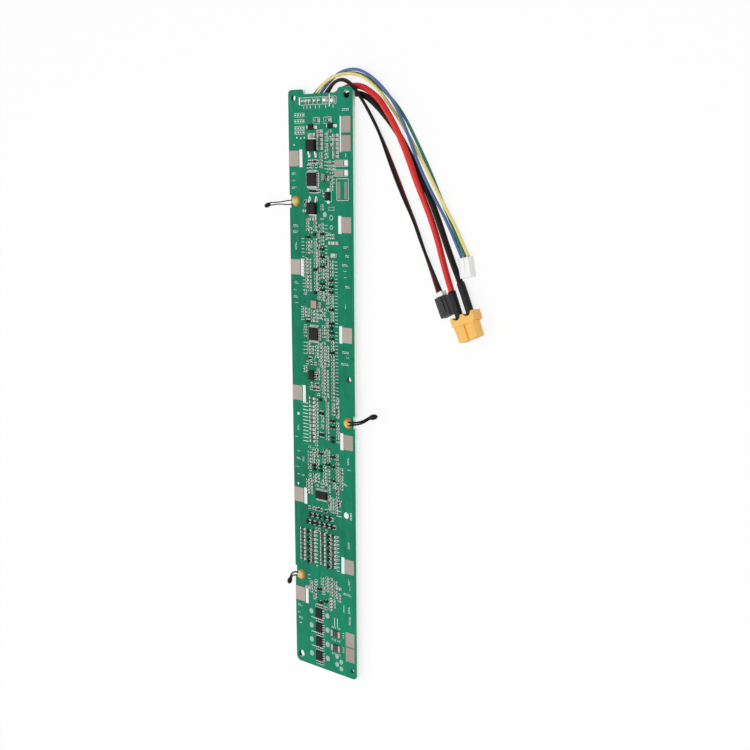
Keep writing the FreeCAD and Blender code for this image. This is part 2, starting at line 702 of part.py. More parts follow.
# Data plug: a white housing with ribs along its top and three square contact cavities
data = doc.addObject("PartDesign::Body", "DataPlug")
sketch = new_sketch(data, "DataBlock", "XZ_Plane")
block_x = "Sizes.data_plug_width / 2"
block_z = "Sizes.data_plug_height / 2"
rectangle(sketch, "block", "-" + block_x, block_x, "-" + block_z, block_z + " - Sizes.data_rib_height")
pad_back(data, "DataBlockPad", sketch, "Sizes.data_plug_length")
sketch = new_sketch(data, "DataRibs", "XZ_Plane")
rib = "Sizes.data_rib_width / 2"
rectangle(sketch, "first", "-(" + block_x + ")", "-(" + block_x + " - Sizes.data_rib_width)", "0", block_z)
rectangle(sketch, "second", block_x + " - Sizes.data_rib_width", block_x, "0", block_z)
pad_back(data, "DataRibPad", sketch, "Sizes.data_plug_length")
sketch = new_sketch(data, "DataLatch", "XZ_Plane")
rectangle(sketch, "middle", "-" + rib, rib, "0", block_z)
pad_back(data, "DataLatchPad", sketch, "Sizes.data_plug_length - 2.4")
sketch = new_sketch(data, "DataCavities", "XZ_Plane")
cavity = "Sizes.data_bore_side / 2"
for name, where in (("left", "-Sizes.data_pole_pitch"), ("middle", "0"), ("right", "Sizes.data_pole_pitch")):
    rectangle(sketch, name, where + " - " + cavity, where + " + " + cavity, "-" + cavity, cavity)
pocket_through(data, "DataCavityCut", sketch)
doc.recompute()
lay(data, "data")
keep(data, "data_plug_housing")

blades = []
side = size("data_contact_side")
for number in (-1, 0, 1):
    x = number * size("data_pole_pitch")
    corner = V(x - side / 2, -0.1 - size("data_contact_length"), -side / 2)
    blades.append(Part.makeBox(side, size("data_contact_length"), side, corner))
contacts = keep_shape("data_plug_contacts", blades)
lay(contacts, "data")


# Temperature sensors: a dark bead on two bare leads, each held by a dot of glue near its edge notch


def bead(start, end, radius):
    # a spindle turned about its own axis, standing from start to end
    length = (end - start).Length
    profile = [V(0, 0, 0)]
    for across, along in ((0.4, 0.0), (0.85, 0.16), (1.0, 0.38), (1.0, 0.6), (0.75, 0.86), (0.35, 1.0)):
        profile.append(V(across * radius, 0, along * length))
    profile += [V(0, 0, length), V(0, 0, 0)]
    solid = Part.Face(Part.makePolygon(profile)).revolve(V(0, 0, 0), V(0, 0, 1), 360)
    solid.Placement = FreeCAD.Placement(start, FreeCAD.Rotation(V(0, 0, 1), end - start))
    return solid


y1 = L1 - 21.1 * share
y2 = R4 + 10.1 * share
y3 = L5 + 10.7 * share
SENSORS = {
    "temperature_sensor_upper": ((-17.3, y1), [
        [(-18.6, y1 + 0.5, 2.7), (-22.6, y1 + 0.1, 2.3), (-29.7, y1 - 0.8, 1.6), (-36.9, y1 - 1.1, 1.2)],
        [(-18.6, y1 - 1.6, 2.7), (-22.8, y1 - 1.9, 2.3), (-30.3, y1 - 1.7, 1.6), (-36.9, y1 - 2.5, 1.2)],
    ], ((-37.0, y1 - 1.8, 1.2), (-40.8, y1 - 3.1, 1.1))),
    "temperature_sensor_middle": ((17.3, y2), [
        [(17.4, y2 + 0.9, 2.9), (20.9, y2 + 0.8, 2.6), (26.4, y2 + 1.9, 1.7), (31.4, y2 + 4.9, 1.2)],
        [(18.3, y2 - 0.9, 2.9), (21.4, y2 - 0.3, 2.4), (26.6, y2 + 1.0, 1.6), (31.6, y2 + 4.1, 1.2)],
    ], ((31.6, y2 + 4.6, 1.2), (36.0, y2 + 5.8, 1.1))),
    "temperature_sensor_lower": ((-17.5, y3), [
        [(-18.8, y3 + 1.0, 2.8), (-21.5, y3 + 0.8, 2.5), (-24.8, y3 - 0.9, 1.8), (-27.0, y3 - 4.2, 1.0)],
        [(-19.0, y3 - 0.6, 2.8), (-21.3, y3 - 1.0, 2.5), (-24.1, y3 - 1.9, 1.8), (-26.3, y3 - 4.6, 1.0)],
    ], ((-26.8, y3 - 4.5, 0.9), (-28.6, y3 - 7.6, 0.2))),
}
glue = []
for name, (place, leads, ends) in SENSORS.items():
    lead_tubes = [tube(name, points, size("sensor_lead_diameter"), False) for points in leads]
    drop = bead(V(*ends[0]), V(*ends[1]), size("sensor_bead_radius"))
    lead_tubes = [lead.cut(drop) for lead in lead_tubes]
    keep_shape(name, lead_tubes + [drop])
    radius = (size("glue_radius") ** 2 + size("glue_height") ** 2) / (2 * size("glue_height"))
    ball = Part.makeSphere(radius, V(place[0], place[1], front + size("glue_height") - radius))
    above = Part.makeBox(20, 20, 10, V(place[0] - 10, place[1] - 10, front))
    dot = ball.common(above)
    for lead in lead_tubes:
        dot = dot.cut(lead)
    glue.append(dot)
keep_shape("glue_dots", glue)


# Moulded packages: bodies widest at the mould line, with gull-wing leads


def rim(x, y, z, width, length):
    a, b = width / 2, length / 2
    corners = [V(x - a, y - b, z), V(x + a, y - b, z), V(x + a, y + b, z), V(x - a, y + b, z)]
    return Part.makePolygon(corners + [corners[0]])


def moulded(x, y, width, length, height):
    low = front + size("package_standoff")
    taper = 2 * size("package_taper")
    sections = [rim(x, y, low, width - taper, length - taper)]
    sections.append(rim(x, y, low + 0.45 * height, width, length))
    sections.append(rim(x, y, low + height, width - taper, length - taper))
    return Part.makeLoft(sections, True, True)


def leads_along(x, y, face, count, pitch, width, reach, height, angle):
    # a row of leads that leave the package at the given distance from its centre
    shapes = []
    thick = size("lead_thickness")
    top = size("package_standoff") + 0.45 * height + thick / 2
    knee = max(reach - size("lead_foot"), 0.3 * reach)
    profile = [V(0, 0, top), V(0, knee * 0.6, top), V(0, knee, thick), V(0, reach, thick)]
    profile += [V(0, reach, 0), V(0, knee * 0.7, 0), V(0, 0, top - thick)]
    for number in range(count):
        across = (number - (count - 1) / 2) * pitch
        face_wire = Part.makePolygon([p + V(across - width / 2, face, front) for p in profile + [profile[0]]])
        lead = Part.Face(face_wire).extrude(V(width, 0, 0))
        lead.rotate(V(0, 0, 0), V(0, 0, 1), angle)
        lead.translate(V(x, y, 0))
        shapes.append(lead)
    return shapes


# Quad packages: the cell monitor and the microcontroller, eight leads on each side
QUADS = [("cell_monitor", -5.4, L1 - 10.3 * share), ("microcontroller", -5.5, R3 - 1.0 * share)]
for name, x, y in QUADS:
    side, height = size("quad_side"), size("quad_height")
    keep_shape(name + "_body", [moulded(x, y, side, side, height)])
    leads = []
    for angle in (0, 90, 180, 270):
        leads += leads_along(x, y, side / 2, 8, size("quad_lead_pitch"), size("quad_lead_width"),
                             size("quad_lead_reach"), height, angle)
    keep_shape(name + "_leads", leads)

# Interface chip: eight leads, four down each long side
x = -7.2
y = L3 + 10.2 * share
keep_shape("interface_chip_body", [moulded(x, y, size("interface_width"), size("interface_length"),
                                           size("interface_height"))])
leads = []
for angle in (90, 270):
    leads += leads_along(x, y, size("interface_width") / 2, 4, size("interface_lead_pitch"),
                         size("interface_lead_width"), size("interface_lead_reach"),
                         size("interface_height"), angle)
keep_shape("interface_chip_leads", leads)

# Balance control chip: twelve leads above and twelve below
x = -1.7
y = L4 + 2.4 * share
keep_shape("balance_control_chip_body", [moulded(x, y, size("balance_chip_width"),
                                                 size("balance_chip_length"), size("balance_chip_height"))])
leads = []
for angle in (0, 180):
    leads += leads_along(x, y, size("balance_chip_length") / 2, 12, size("balance_chip_lead_pitch"),
                         size("balance_chip_lead_width"), size("balance_chip_lead_reach"),
                         size("balance_chip_height"), angle)
keep_shape("balance_control_chip_leads", leads)

# Logic chips: two small packages with three leads above and below
bodies = []
leads = []
for x, y in ((-1.0, L3 - 8.8 * share), (-1.0, L3 - 20.0 * share)):
    bodies.append(moulded(x, y, size("logic_width"), size("logic_length"), size("logic_height")))
    for angle in (0, 180):
        leads += leads_along(x, y, size("logic_length") / 2, 3, size("logic_lead_pitch"),
                             size("logic_lead_width"), size("logic_lead_reach"), size("logic_height"), angle)
keep_shape("logic_chip_bodies", bodies)
keep_shape("logic_chip_leads", leads)

# Voltage regulators: a moulded block on a tinned tab, two leads on the other side
bodies = []
metal = []
for x, y, up in ((-5.35, L1 + 6.3 * share, 1), (-5.35, L1 - 24.7 * share, -1)):
    width, length = size("regulator_width"), size("regulator_length")
    bodies.append(moulded(x, y, width, length, size("regulator_height")))
    tab_y = y + up * (length / 2 + size("regulator_tab_reach") / 2)
    tab = Part.makeBox(size("regulator_tab_width"), size("regulator_tab_reach"),
                       size("regulator_tab_thickness"),
                       V(x - size("regulator_tab_width") / 2, tab_y - size("regulator_tab_reach") / 2, front))
    metal.append(tab)
    metal += leads_along(x, y, length / 2, 2, size("regulator_lead_pitch"), size("regulator_lead_width"),
                         size("regulator_lead_reach"), size("regulator_height") * 0.6, 90 + 90 * up)
keep_shape("regulator_bodies", bodies)
keep_shape("regulator_leads", metal)

# Power transistors: four flat packages in a column, leads on the right and a drain edge on the left
bodies = []
leads = []
for y in transistor_rows:
    x = -4.4
    bodies.append(moulded(x, y, size("transistor_width"), size("transistor_length"),
                          size("transistor_height")))
    leads += leads_along(x, y, size("transistor_width") / 2, 4, size("transistor_lead_pitch"),
                         size("transistor_lead_width"), size("transistor_lead_reach"),
                         size("transistor_height"), 270)
    leads += leads_along(x, y, size("transistor_width") / 2, 4, size("transistor_lead_pitch"),
                         size("transistor_lead_width"), size("transistor_tab_reach"),
                         size("transistor_height"), 90)
keep_shape("power_transistor_bodies", bodies)
keep_shape("power_transistor_leads", leads)


# Two-ended blocks: a dark body between two metal ends


def capped_block(x, y, width, length, height, end, along_y=False):
    # body and end caps of a chip that lies along X, or along Y
    rise = size("end_cap_rise")
    body = Part.makeBox(width - 2 * end, length, height, V(-width / 2 + end, -length / 2, 0))
    ends = []
    for corner in (-width / 2, width / 2 - end):
        ends.append(Part.makeBox(end, length, height + rise, V(corner, -length / 2, 0)))
    for solid in [body] + ends:
        if along_y:
            solid.rotate(V(0, 0, 0), V(0, 0, 1), 90)
        solid.translate(V(x, y, front))
    return body, ends


# Current-sense resistors
bodies = []
ends = []
for number in range(2):
    y = bottom_end + 14.1 + number * size("sense_pitch")
    body, caps = capped_block(7.5, y, size("sense_width"), size("sense_length"), size("sense_height"),
                              size("sense_end_width"))
    bodies.append(body)
    ends += caps
keep_shape("current_sense_resistors", bodies)
keep_shape("current_sense_terminals", ends)

# Rectifier diodes: moulded blocks with a flat terminal at each end
bodies = []
terminals = []
DIODES = [(5.2, L1 - 18.5 * share, 1.0, 0), (-5.7, L1 + 15.2 * share, 0.9, 90),
          (7.5, L1 + 15.5 * share, 0.85, 90)]
for x, y, scale, angle in DIODES:
    width, length = size("diode_width") * scale, size("diode_length") * scale
    block = moulded(0, 0, width, length, size("diode_height"))
    block.rotate(V(0, 0, 0), V(0, 0, 1), angle)
    block.translate(V(x, y, 0))
    bodies.append(block)
    for end in (0, 180):
        terminals += leads_along(x, y, length / 2, 1, 1.0, size("diode_end_width"),
                                 size("diode_end_reach"), size("diode_height") * 0.8, angle + end)
keep_shape("diode_bodies", bodies)
keep_shape("diode_terminals", terminals)


def centred_block(name, width, length, height, x, y):
    block = doc.addObject("Part::Box", name)
    block.setExpression("Length", "Sizes." + width)
    block.setExpression("Width", "Sizes." + length)
    block.setExpression("Height", "Sizes." + height)
    block.setExpression("Placement.Base.x", "%.4f - Sizes.%s / 2" % (x, width))
    block.setExpression("Placement.Base.y", "%.4f - Sizes.%s / 2" % (y, length))
    block.setExpression("Placement.Base.z", "Sizes.board_thickness")
    return block


# Crystal can, large ceramic capacitor and fuse
crystal = centred_block("Crystal", "crystal_width", "crystal_length", "crystal_height",
                        -5.3, R3 + 14.1 * share)
keep(crystal, "crystal")
ceramic = centred_block("Ceramic", "ceramic_width", "ceramic_length", "ceramic_height",
                        2.4, L1 - 9.5 * share)
keep(ceramic, "ceramic_capacitor")
fuse = centred_block("Fuse", "fuse_width", "fuse_length", "fuse_height", 8.6, L2 + 6.9 * share)
keep(fuse, "fuse_block")


# Small chip parts. Each row: anchor, column, first place above the anchor in shares, count
# Rows run down the board; their pitch is the part's width and a gap

small_pitch = (size("small_chip_width") + size("small_row_gap")) * share
large_pitch = (size("large_chip_width") + size("large_row_gap")) * share
RESISTOR_ROWS = [
    (L2, -9.3, 24.0, 4), (L2, -9.3, 12.6, 4), (L2, -10.8, 4.2, 5), (L2, -8.4, 4.2, 5),
    (L2, -10.6, -4.6, 4), (L2, -8.2, -4.6, 5), (L2, -4.0, 22.4, 3), (L2, -4.0, 14.4, 9),
    (L2, -4.0, -2.4, 6), (L2, 0.9, 21.8, 3), (L2, 0.9, 15.6, 3), (L2, 0.9, 3.35, 1),
    (L2, 0.9, -1.2, 3), (L2, 0.9, -12.5, 3), (L2, 7.2, 3.8, 5),
    (R3, 7.2, 18.9, 4), (R3, 7.2, 10.2, 3), (R3, -6.4, 10.6, 4), (R3, -4.0, 10.6, 4),
    (R3, -12.2, 11.5, 3), (R3, -9.6, 11.4, 2), (R3, 1.2, 12.0, 4), (R3, -1.2, 11.0, 1),
    (R3, 1.0, 3.0, 4), (R3, 3.6, 6.6, 7), (R3, -9.8, -6.0, 4), (R3, -7.2, -7.6, 3),
    (R3, -4.0, -7.6, 4), (R3, -1.6, -6.2, 7), (R3, 1.0, -5.4, 8), (R3, 3.6, -7.4, 6),
    (R3, 7.2, -4.5, 3), (R3, 7.2, -11.6, 5),
    (L3, 0.4, 13.6, 9), (L3, 3.0, 13.6, 8), (L3, 7.2, 12.5, 9), (L3, 3.0, -3.0, 7),
    (L3, 7.2, -3.4, 4), (L3, 3.0, -15.0, 5), (L3, -4.6, -2.0, 12),
    (L4, -10.2, 24.0, 6), (L4, -7.4, 24.0, 4), (L4, -4.8, 26.0, 3), (L4, 3.4, 26.0, 3),
    (L4, -4.2, 20.2, 3), (L4, 0.4, 25.2, 4), (L4, 0.6, 17.6, 5), (L4, 3.2, 15.8, 4),
    (L4, -4.2, 12.6, 3), (L4, -6.6, 12.6, 3), (L4, 9.6, 20.5, 6), (L4, 12.4, 18.0, 7),
    (L4, 7.4, 9.4, 2), (L4, 5.8, 1.4, 5), (L4, 8.6, 1.4, 5), (L4, -9.4, 9.0, 5), (L4, -11.8, 9.0, 5),
    (L5, -10.2, 8.0, 4), (L5, -2.0, 12.0, 3), (L5, 1.4, 12.6, 5), (L5, 4.4, 12.6, 6),
    (L5, 7.4, 12.0, 6), (L5, -7.4, 4.0, 3), (L5, 3.6, 1.4, 4), (L5, 6.2, 1.4, 3), (L5, 10.0, 5.4, 3),
]
CAPACITOR_ROWS = [
    (L1, 6.3, -2.0, 3), (L1, 9.2, -4.0, 2), (L2, 5.2, 17.0, 2), (L2, 7.9, 17.0, 2),
    (R3, -1.2, 9.0, 2), (R3, -9.6, 8.0, 2), (L4, -0.9, 8.6, 2), (L5, -6.6, 9.4, 3),
]
LARGE_ROWS = [
    (L1, 0.0, 13.0, 5), (L1, 10.7, 10.8, 6),
]
BALANCE_ROWS = [
    (L3, -7.8, -1.8, 12), (R5, -15.8, 14.2, 9), (R5, -8.2, 14.2, 9),
    (R5, -1.2, 14.2, 9), (R5, 6.2, 14.2, 9),
]
MEDIUM_PARTS = [
    (L1, -1.7, 18.3), (L1, 5.8, 18.2), (L2, 7.1, 12.9), (L2, 10.1, 12.9), (L1, -11.0, -25.9),
    (L5, 10.0, 9.0), (L5, -12.8, 4.8),
]


def laid_box(x, y, width, length, height):
    return Part.makeBox(width, length, height, V(x - width / 2, y - length / 2, front))


def rows(table, pitch, width, length, height):
    shapes = []
    for anchor, x, first, count in table:
        for number in range(int(count)):
            y = anchor + first * share - number * pitch
            shapes.append(laid_box(x, y, width, length, height))
    return shapes


keep_shape("chip_resistors", rows(RESISTOR_ROWS, small_pitch, size("small_chip_length"),
                                  size("small_chip_width"), size("resistor_height")))
capacitors = rows(CAPACITOR_ROWS, small_pitch, size("small_chip_length"), size("small_chip_width"),
                  size("capacitor_height"))
for anchor, x, y in MEDIUM_PARTS:
    capacitors.append(laid_box(x, anchor + y * share, size("medium_chip_length"), size("medium_chip_width"),
                               size("capacitor_height")))
keep_shape("chip_capacitors", capacitors)
keep_shape("large_capacitors", rows(LARGE_ROWS, large_pitch, size("large_chip_length"),
                                    size("large_chip_width"), size("capacitor_height")))
keep_shape("balance_resistors", rows(BALANCE_ROWS, large_pitch, size("large_chip_length"),
                                     size("large_chip_width"), size("large_chip_height")))

# Small transistors: anchor, column, place above the anchor in shares, quarter turns
TRANSISTORS = [
    (L2, -9.0, 15.4, 0), (L2, 0.9, 9.6, 0), (L2, 0.9, 5.8, 0), (L2, 0.9, 0.9, 0),
    (L2, 0.7, -7.6, 0), (L2, 0.7, -10.6, 0), (L2, 6.7, -5.7, 0), (L2, 6.9, -8.8, 0), (L2, 6.7, -11.6, 0),
    (R3, 6.7, 12.0, 0), (R3, 6.7, 5.0, 0), (R3, 6.7, 0.3, 0), (R3, 6.7, -2.6, 0), (R3, 6.7, -9.7, 0),
    (L3, 6.9, -11.8, 0), (L3, 6.7, -15.0, 0), (L4, -1.8, 24.3, 0), (L4, 6.6, 23.8, 0),
    (L4, 3.2, 19.3, 0), (L4, 6.9, 18.6, 0), (L4, 6.8, 11.4, 0),
    (L5, -3.9, 5.6, 0), (L5, -3.5, -1.6, 0), (L5, 0.7, -0.2, 0),
]
for number in range(5):
    TRANSISTORS.append((L4, -9.9 + 3.5 * number, -9.3, 1))
for number in range(6):
    TRANSISTORS.append((L4, -11.9 + 3.5 * number, -13.3, 1))
for number in range(5):
    TRANSISTORS.append((R5, -11.9 + 0.2, 13.5 - 4.0 * number, 1))
    TRANSISTORS.append((R5, 2.7, 13.5 - 4.0 * number, 1))
bodies = []
legs = []
for anchor, x, offset, turns in TRANSISTORS:
    y = anchor + offset * share
    length, width = size("tiny_body_length"), size("tiny_body_width")
    block = moulded(0, 0, length, width, size("tiny_body_height"))
    block.rotate(V(0, 0, 0), V(0, 0, 1), 90 * turns)
    block.translate(V(x, y, 0))
    bodies.append(block)
    leg = (size("tiny_leg_width"), size("tiny_leg_reach"), size("tiny_body_height"))
    legs += leads_along(x, y, width / 2, 1, 1.0, leg[0], leg[1], leg[2], 90 * turns)
    legs += leads_along(x, y, width / 2, 2, size("tiny_leg_spread"), leg[0], leg[1], leg[2], 90 * turns + 180)
keep_shape("small_transistors", bodies)
keep_shape("small_transistor_legs", legs)

# Small signal diodes: anchor, column, place above the anchor in shares
SMALL_DIODES = [
    (L2, -4.2, 16.8, 0), (L2, 1.0, 17.1, 0), (L2, -4.2, -0.9, 0), (L2, -4.3, -12.4, 0),
    (R3, 6.5, 2.9, 0), (R3, -10.0, 5.2, 0), (L3, -1.7, -1.8, 0), (L3, 6.7, -20.6, 0), (L3, 6.7, -22.6, 0),
    (L4, -6.7, 17.4, 0), (L4, -6.5, 15.4, 0), (L4, -2.0, 17.6, 0), (L4, -1.8, 15.4, 0),
]
bodies = []
for anchor, x, offset, turns in SMALL_DIODES:
    bodies.append(laid_box(x, anchor + offset * share, size("glass_diode_length"), size("glass_diode_width"),
                           size("tiny_body_height")))
keep_shape("small_diodes", bodies)


# Every object has to be sound before its file is written

doc.recompute()
problems = []
for obj in doc.Objects:
    if "Invalid" in obj.State or "Error" in obj.State:
        problems.append(obj.Name + " " + str(obj.State))
labels = [obj.Label for obj in NODES]
if len(set(labels)) != len(labels):
    problems.append("a label is used twice")
for obj in NODES:
    if obj.Shape.isNull() or not obj.Shape.isValid() or not obj.Shape.Solids:
        problems.append(obj.Label + " has no sound shape")
if problems:
    raise RuntimeError("; ".join(problems))
for obj in NODES:
    obj.Shape.exportStep("parts/" + obj.Label + ".step")
print("%d sub-parts written" % len(NODES))
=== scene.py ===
import bpy
import bmesh
import math
import random
from mathutils import Matrix, Vector


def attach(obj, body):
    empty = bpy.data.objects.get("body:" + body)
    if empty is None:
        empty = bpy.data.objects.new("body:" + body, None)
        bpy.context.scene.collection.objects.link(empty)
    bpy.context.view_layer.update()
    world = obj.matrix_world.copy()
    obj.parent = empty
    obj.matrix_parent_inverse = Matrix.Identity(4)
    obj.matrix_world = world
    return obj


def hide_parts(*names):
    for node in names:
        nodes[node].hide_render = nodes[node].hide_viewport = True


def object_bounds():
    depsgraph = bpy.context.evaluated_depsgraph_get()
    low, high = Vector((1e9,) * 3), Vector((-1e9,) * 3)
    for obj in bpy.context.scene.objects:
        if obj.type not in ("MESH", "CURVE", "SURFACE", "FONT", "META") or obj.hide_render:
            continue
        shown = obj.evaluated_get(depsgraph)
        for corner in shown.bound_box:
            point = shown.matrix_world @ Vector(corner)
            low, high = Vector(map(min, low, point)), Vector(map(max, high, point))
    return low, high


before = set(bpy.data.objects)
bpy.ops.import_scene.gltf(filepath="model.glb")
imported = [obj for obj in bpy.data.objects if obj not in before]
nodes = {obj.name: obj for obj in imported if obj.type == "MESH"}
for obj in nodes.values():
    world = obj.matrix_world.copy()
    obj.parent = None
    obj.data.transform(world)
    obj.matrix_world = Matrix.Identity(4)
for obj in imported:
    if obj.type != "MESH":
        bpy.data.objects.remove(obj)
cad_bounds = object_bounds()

# The photographer's table: a plain white sheet under the board, wide soft lamps above it
# and the camera high on the right, looking down at the component side.

MM = 0.001
FLOOR = cad_bounds[0][2]


class Value:
    """A shader socket that can be used in plain arithmetic."""

    def __init__(self, graph, socket):
        self.graph = graph
        self.socket = socket

    def __add__(self, other):
        return self.graph.maths("ADD", self, other)

    def __sub__(self, other):
        return self.graph.maths("SUBTRACT", self, other)

    def __rsub__(self, other):
        return self.graph.maths("SUBTRACT", other, self)

    def __mul__(self, other):
        return self.graph.maths("MULTIPLY", self, other)

    __radd__ = __add__
    __rmul__ = __mul__


class Graph:
    """The nodes of one material or of the world."""

    def __init__(self, tree):
        self.nodes = tree.nodes
        self.links = tree.links

    def plug(self, value, socket):
        if isinstance(value, Value):
            self.links.new(value.socket, socket)
        elif isinstance(value, tuple) and len(value) == 3 and socket.type == "RGBA":
            socket.default_value = (*value, 1)
        else:
            socket.default_value = value

    def node(self, kind, inputs, output=0, **settings):
        made = self.nodes.new(kind)
        for name, value in settings.items():
            setattr(made, name, value)
        for key, value in inputs.items():
            self.plug(value, made.inputs[key])
        return Value(self, made.outputs[output])

    def maths(self, operation, a, b=0.0):
        return self.node("ShaderNodeMath", {0: a, 1: b}, operation=operation)

    def step(self, value, low, high):
        return self.node("ShaderNodeMapRange", {0: value, 1: low, 2: high}, interpolation_type="SMOOTHSTEP")

    def mix(self, factor, a, b):
        return self.node("ShaderNodeMix", {0: factor, 6: a, 7: b}, output=2, data_type="RGBA")

    def object_place(self):
        return self.node("ShaderNodeTexCoord", {}, output="Object")

    def place(self, stretch=(1, 1, 1)):
        return self.node("ShaderNodeMapping", {"Vector": self.object_place(), "Scale": stretch})

    def noise(self, scale, detail=2.0, stretch=(1, 1, 1)):
        where = self.place(stretch)
        return self.node("ShaderNodeTexNoise", {"Vector": where, "Scale": scale, "Detail": detail})

    def facing(self, axis):
        normal = self.node("ShaderNodeNewGeometry", {}, output="Normal")
        return self.node("ShaderNodeSeparateXYZ", {0: normal}, output=axis)

    def along(self, axis):
        # one object coordinate in millimetres
        return self.node("ShaderNodeSeparateXYZ", {0: self.object_place()}, output=axis) * 1000.0


class Finish(Graph):
    """A material: a principled shader with constants, and nodes for what varies over the surface."""

    def __init__(self, name, colour, roughness, metallic=0.0, others=()):
        self.material = bpy.data.materials.new(name)
        self.material.use_nodes = True
        super().__init__(self.material.node_tree)
        self.shader = self.nodes["Principled BSDF"]
        self.shader.inputs["Base Color"].default_value = (*colour, 1)
        self.shader.inputs["Roughness"].default_value = roughness
        self.shader.inputs["Metallic"].default_value = metallic
        for socket, value in others:
            self.shader.inputs[socket].default_value = value

    def feed(self, **values):
        for socket, value in values.items():
            self.plug(value, self.shader.inputs[socket.replace("_", " ").title()])

    def bump(self, height, strength, distance):
        relief = self.node("ShaderNodeBump", {"Height": height, "Strength": strength, "Distance": distance})
        self.plug(relief, self.shader.inputs["Normal"])


def nothing_selected():
    if bpy.context.object and bpy.context.object.mode != "OBJECT":
        bpy.ops.object.mode_set(mode="OBJECT")
    bpy.ops.object.select_all(action="DESELECT")


def pick(piece):
    # makes one piece the selected and active one
    nothing_selected()
    piece.select_set(True)
    bpy.context.view_layer.objects.active = piece


nothing_selected()
bpy.ops.mesh.primitive_plane_add(size=12)
sheet = bpy.context.object
sheet.name = "table_sheet"
sheet.data.transform(Matrix.Translation((0, 0, FLOOR)))
white = Finish("white_sheet", (0.95, 0.95, 0.95), 0.9)
rays = [white.node("ShaderNodeLightPath", {}, output="Is %s Ray" % kind)
        for kind in ("Camera", "Glossy", "Transmission")]
seen = white.maths("MINIMUM", rays[0] + rays[1] + rays[2], 1.0)
SHEET_GLOW = 0.82
glow = white.node("ShaderNodeEmission", {"Color": (1, 1, 1), "Strength": 1.0})
plain = Value(white, white.shader.outputs[0])
cast = white.node("ShaderNodeMixShader", {0: seen * SHEET_GLOW, 1: plain, 2: glow})
white.plug(cast, white.nodes["Material Output"].inputs["Surface"])
sheet.data.materials.append(white.material)

# the room lights the board at half strength and is plain white where the camera sees it
ROOM_LEVEL = 0.5
world = bpy.data.worlds.new("white_room")
bpy.context.scene.world = world
world.use_nodes = True
room = Graph(world.node_tree)
background = room.nodes["Background"]
background.inputs["Color"].default_value = (1, 1, 1, 1)
seen = room.node("ShaderNodeLightPath", {}, output="Is Camera Ray")
room.plug(seen * (1.0 - ROOM_LEVEL) + ROOM_LEVEL, background.inputs["Strength"])

LAMP_AIM = Vector((0.02, 0, 0))
for name, place, size, watts in (
    ("overhead_lamp", (0.3, -0.1, 1.1), 0.9, 5.8),
    ("side_lamp", (-0.85, -0.15, 0.85), 1.2, 4.3),
):
    lamp = bpy.data.lights.new(name, "AREA")
    lamp.size = size
    lamp.energy = watts
    holder = bpy.data.objects.new(name, lamp)
    bpy.context.collection.objects.link(holder)
    holder.location = place
    holder.rotation_euler = (LAMP_AIM - Vector(place)).to_track_quat("-Z", "Y").to_euler()

CAMERA_PLACE = (0.42958, 0.11027, 0.44368)
LOOKING = Vector((-0.6565, -0.1642, -0.7363))
HEAD_UP = Vector((-0.1057, 0.9864, -0.1258))
camera_data = bpy.data.cameras.new("camera")
camera_data.lens = 59.04
camera_data.sensor_width = 36
camera_data.sensor_fit = "HORIZONTAL"
camera_data.clip_start = 0.01
camera = bpy.data.objects.new("camera", camera_data)
bpy.context.collection.objects.link(camera)
back = -LOOKING.normalized()
right = HEAD_UP.cross(back).normalized()
turned = Matrix((right, back.cross(right), back)).transposed().to_4x4()
camera.matrix_world = Matrix.Translation(CAMERA_PLACE) @ turned
bpy.context.scene.camera = camera
bpy.context.scene.view_settings.view_transform = "Standard"


# The bare board: a woven glass-fibre laminate, milled to shape and drilled, with copper tracks
# under a green solder mask on both faces. The milled edge shows the pale laminate.

BOARD_TOP = 1.6 * MM

mask = Finish("green_solder_mask", (0.008, 0.21, 0.115), 0.34, 0.0,
              [("Specular IOR Level", 0.07), ("Coat Roughness", 0.2)])
cells = mask.node("ShaderNodeTexVoronoi", {"Vector": mask.place((1, 0.6, 1)), "Scale": 420.0},
                  output=1, distance="MANHATTAN")
patch = mask.node("ShaderNodeSeparateColor", {0: cells})
WEAVE = 700.0
weave_x = mask.node("ShaderNodeTexWave", {"Vector": mask.place(), "Scale": WEAVE}, output=1)
weave_y = mask.node("ShaderNodeTexWave", {"Vector": mask.place(), "Scale": WEAVE}, output=1,
                    bands_direction="Y")

# copper areas and tracks show through the mask, and the green is paler towards both ends
copper = mask.step(patch, 0.42, 0.5)
tracks = mask.step(mask.noise(330.0, 2.0, (1, 0.05, 1)), 0.5, 0.56)
cloud = mask.noise(60.0, 3.0)
broad = mask.noise(18.0, 1.0)
from_middle = mask.maths("ABSOLUTE", mask.along(1))
green = mask.mix(copper * 0.6, (0.002, 0.172, 0.090), (0.003, 0.235, 0.128))
green = mask.mix(tracks * 0.55, green, (0.002, 0.122, 0.074))
green = mask.mix(mask.step(broad, 0.4, 0.62) * 0.4, green, (0.003, 0.250, 0.132))
green = mask.mix(cloud * 0.3, green, (0.002, 0.180, 0.098))
green = mask.mix(mask.step(from_middle, 60.0, 150.0) * 0.4, green, (0.006, 0.290, 0.165))

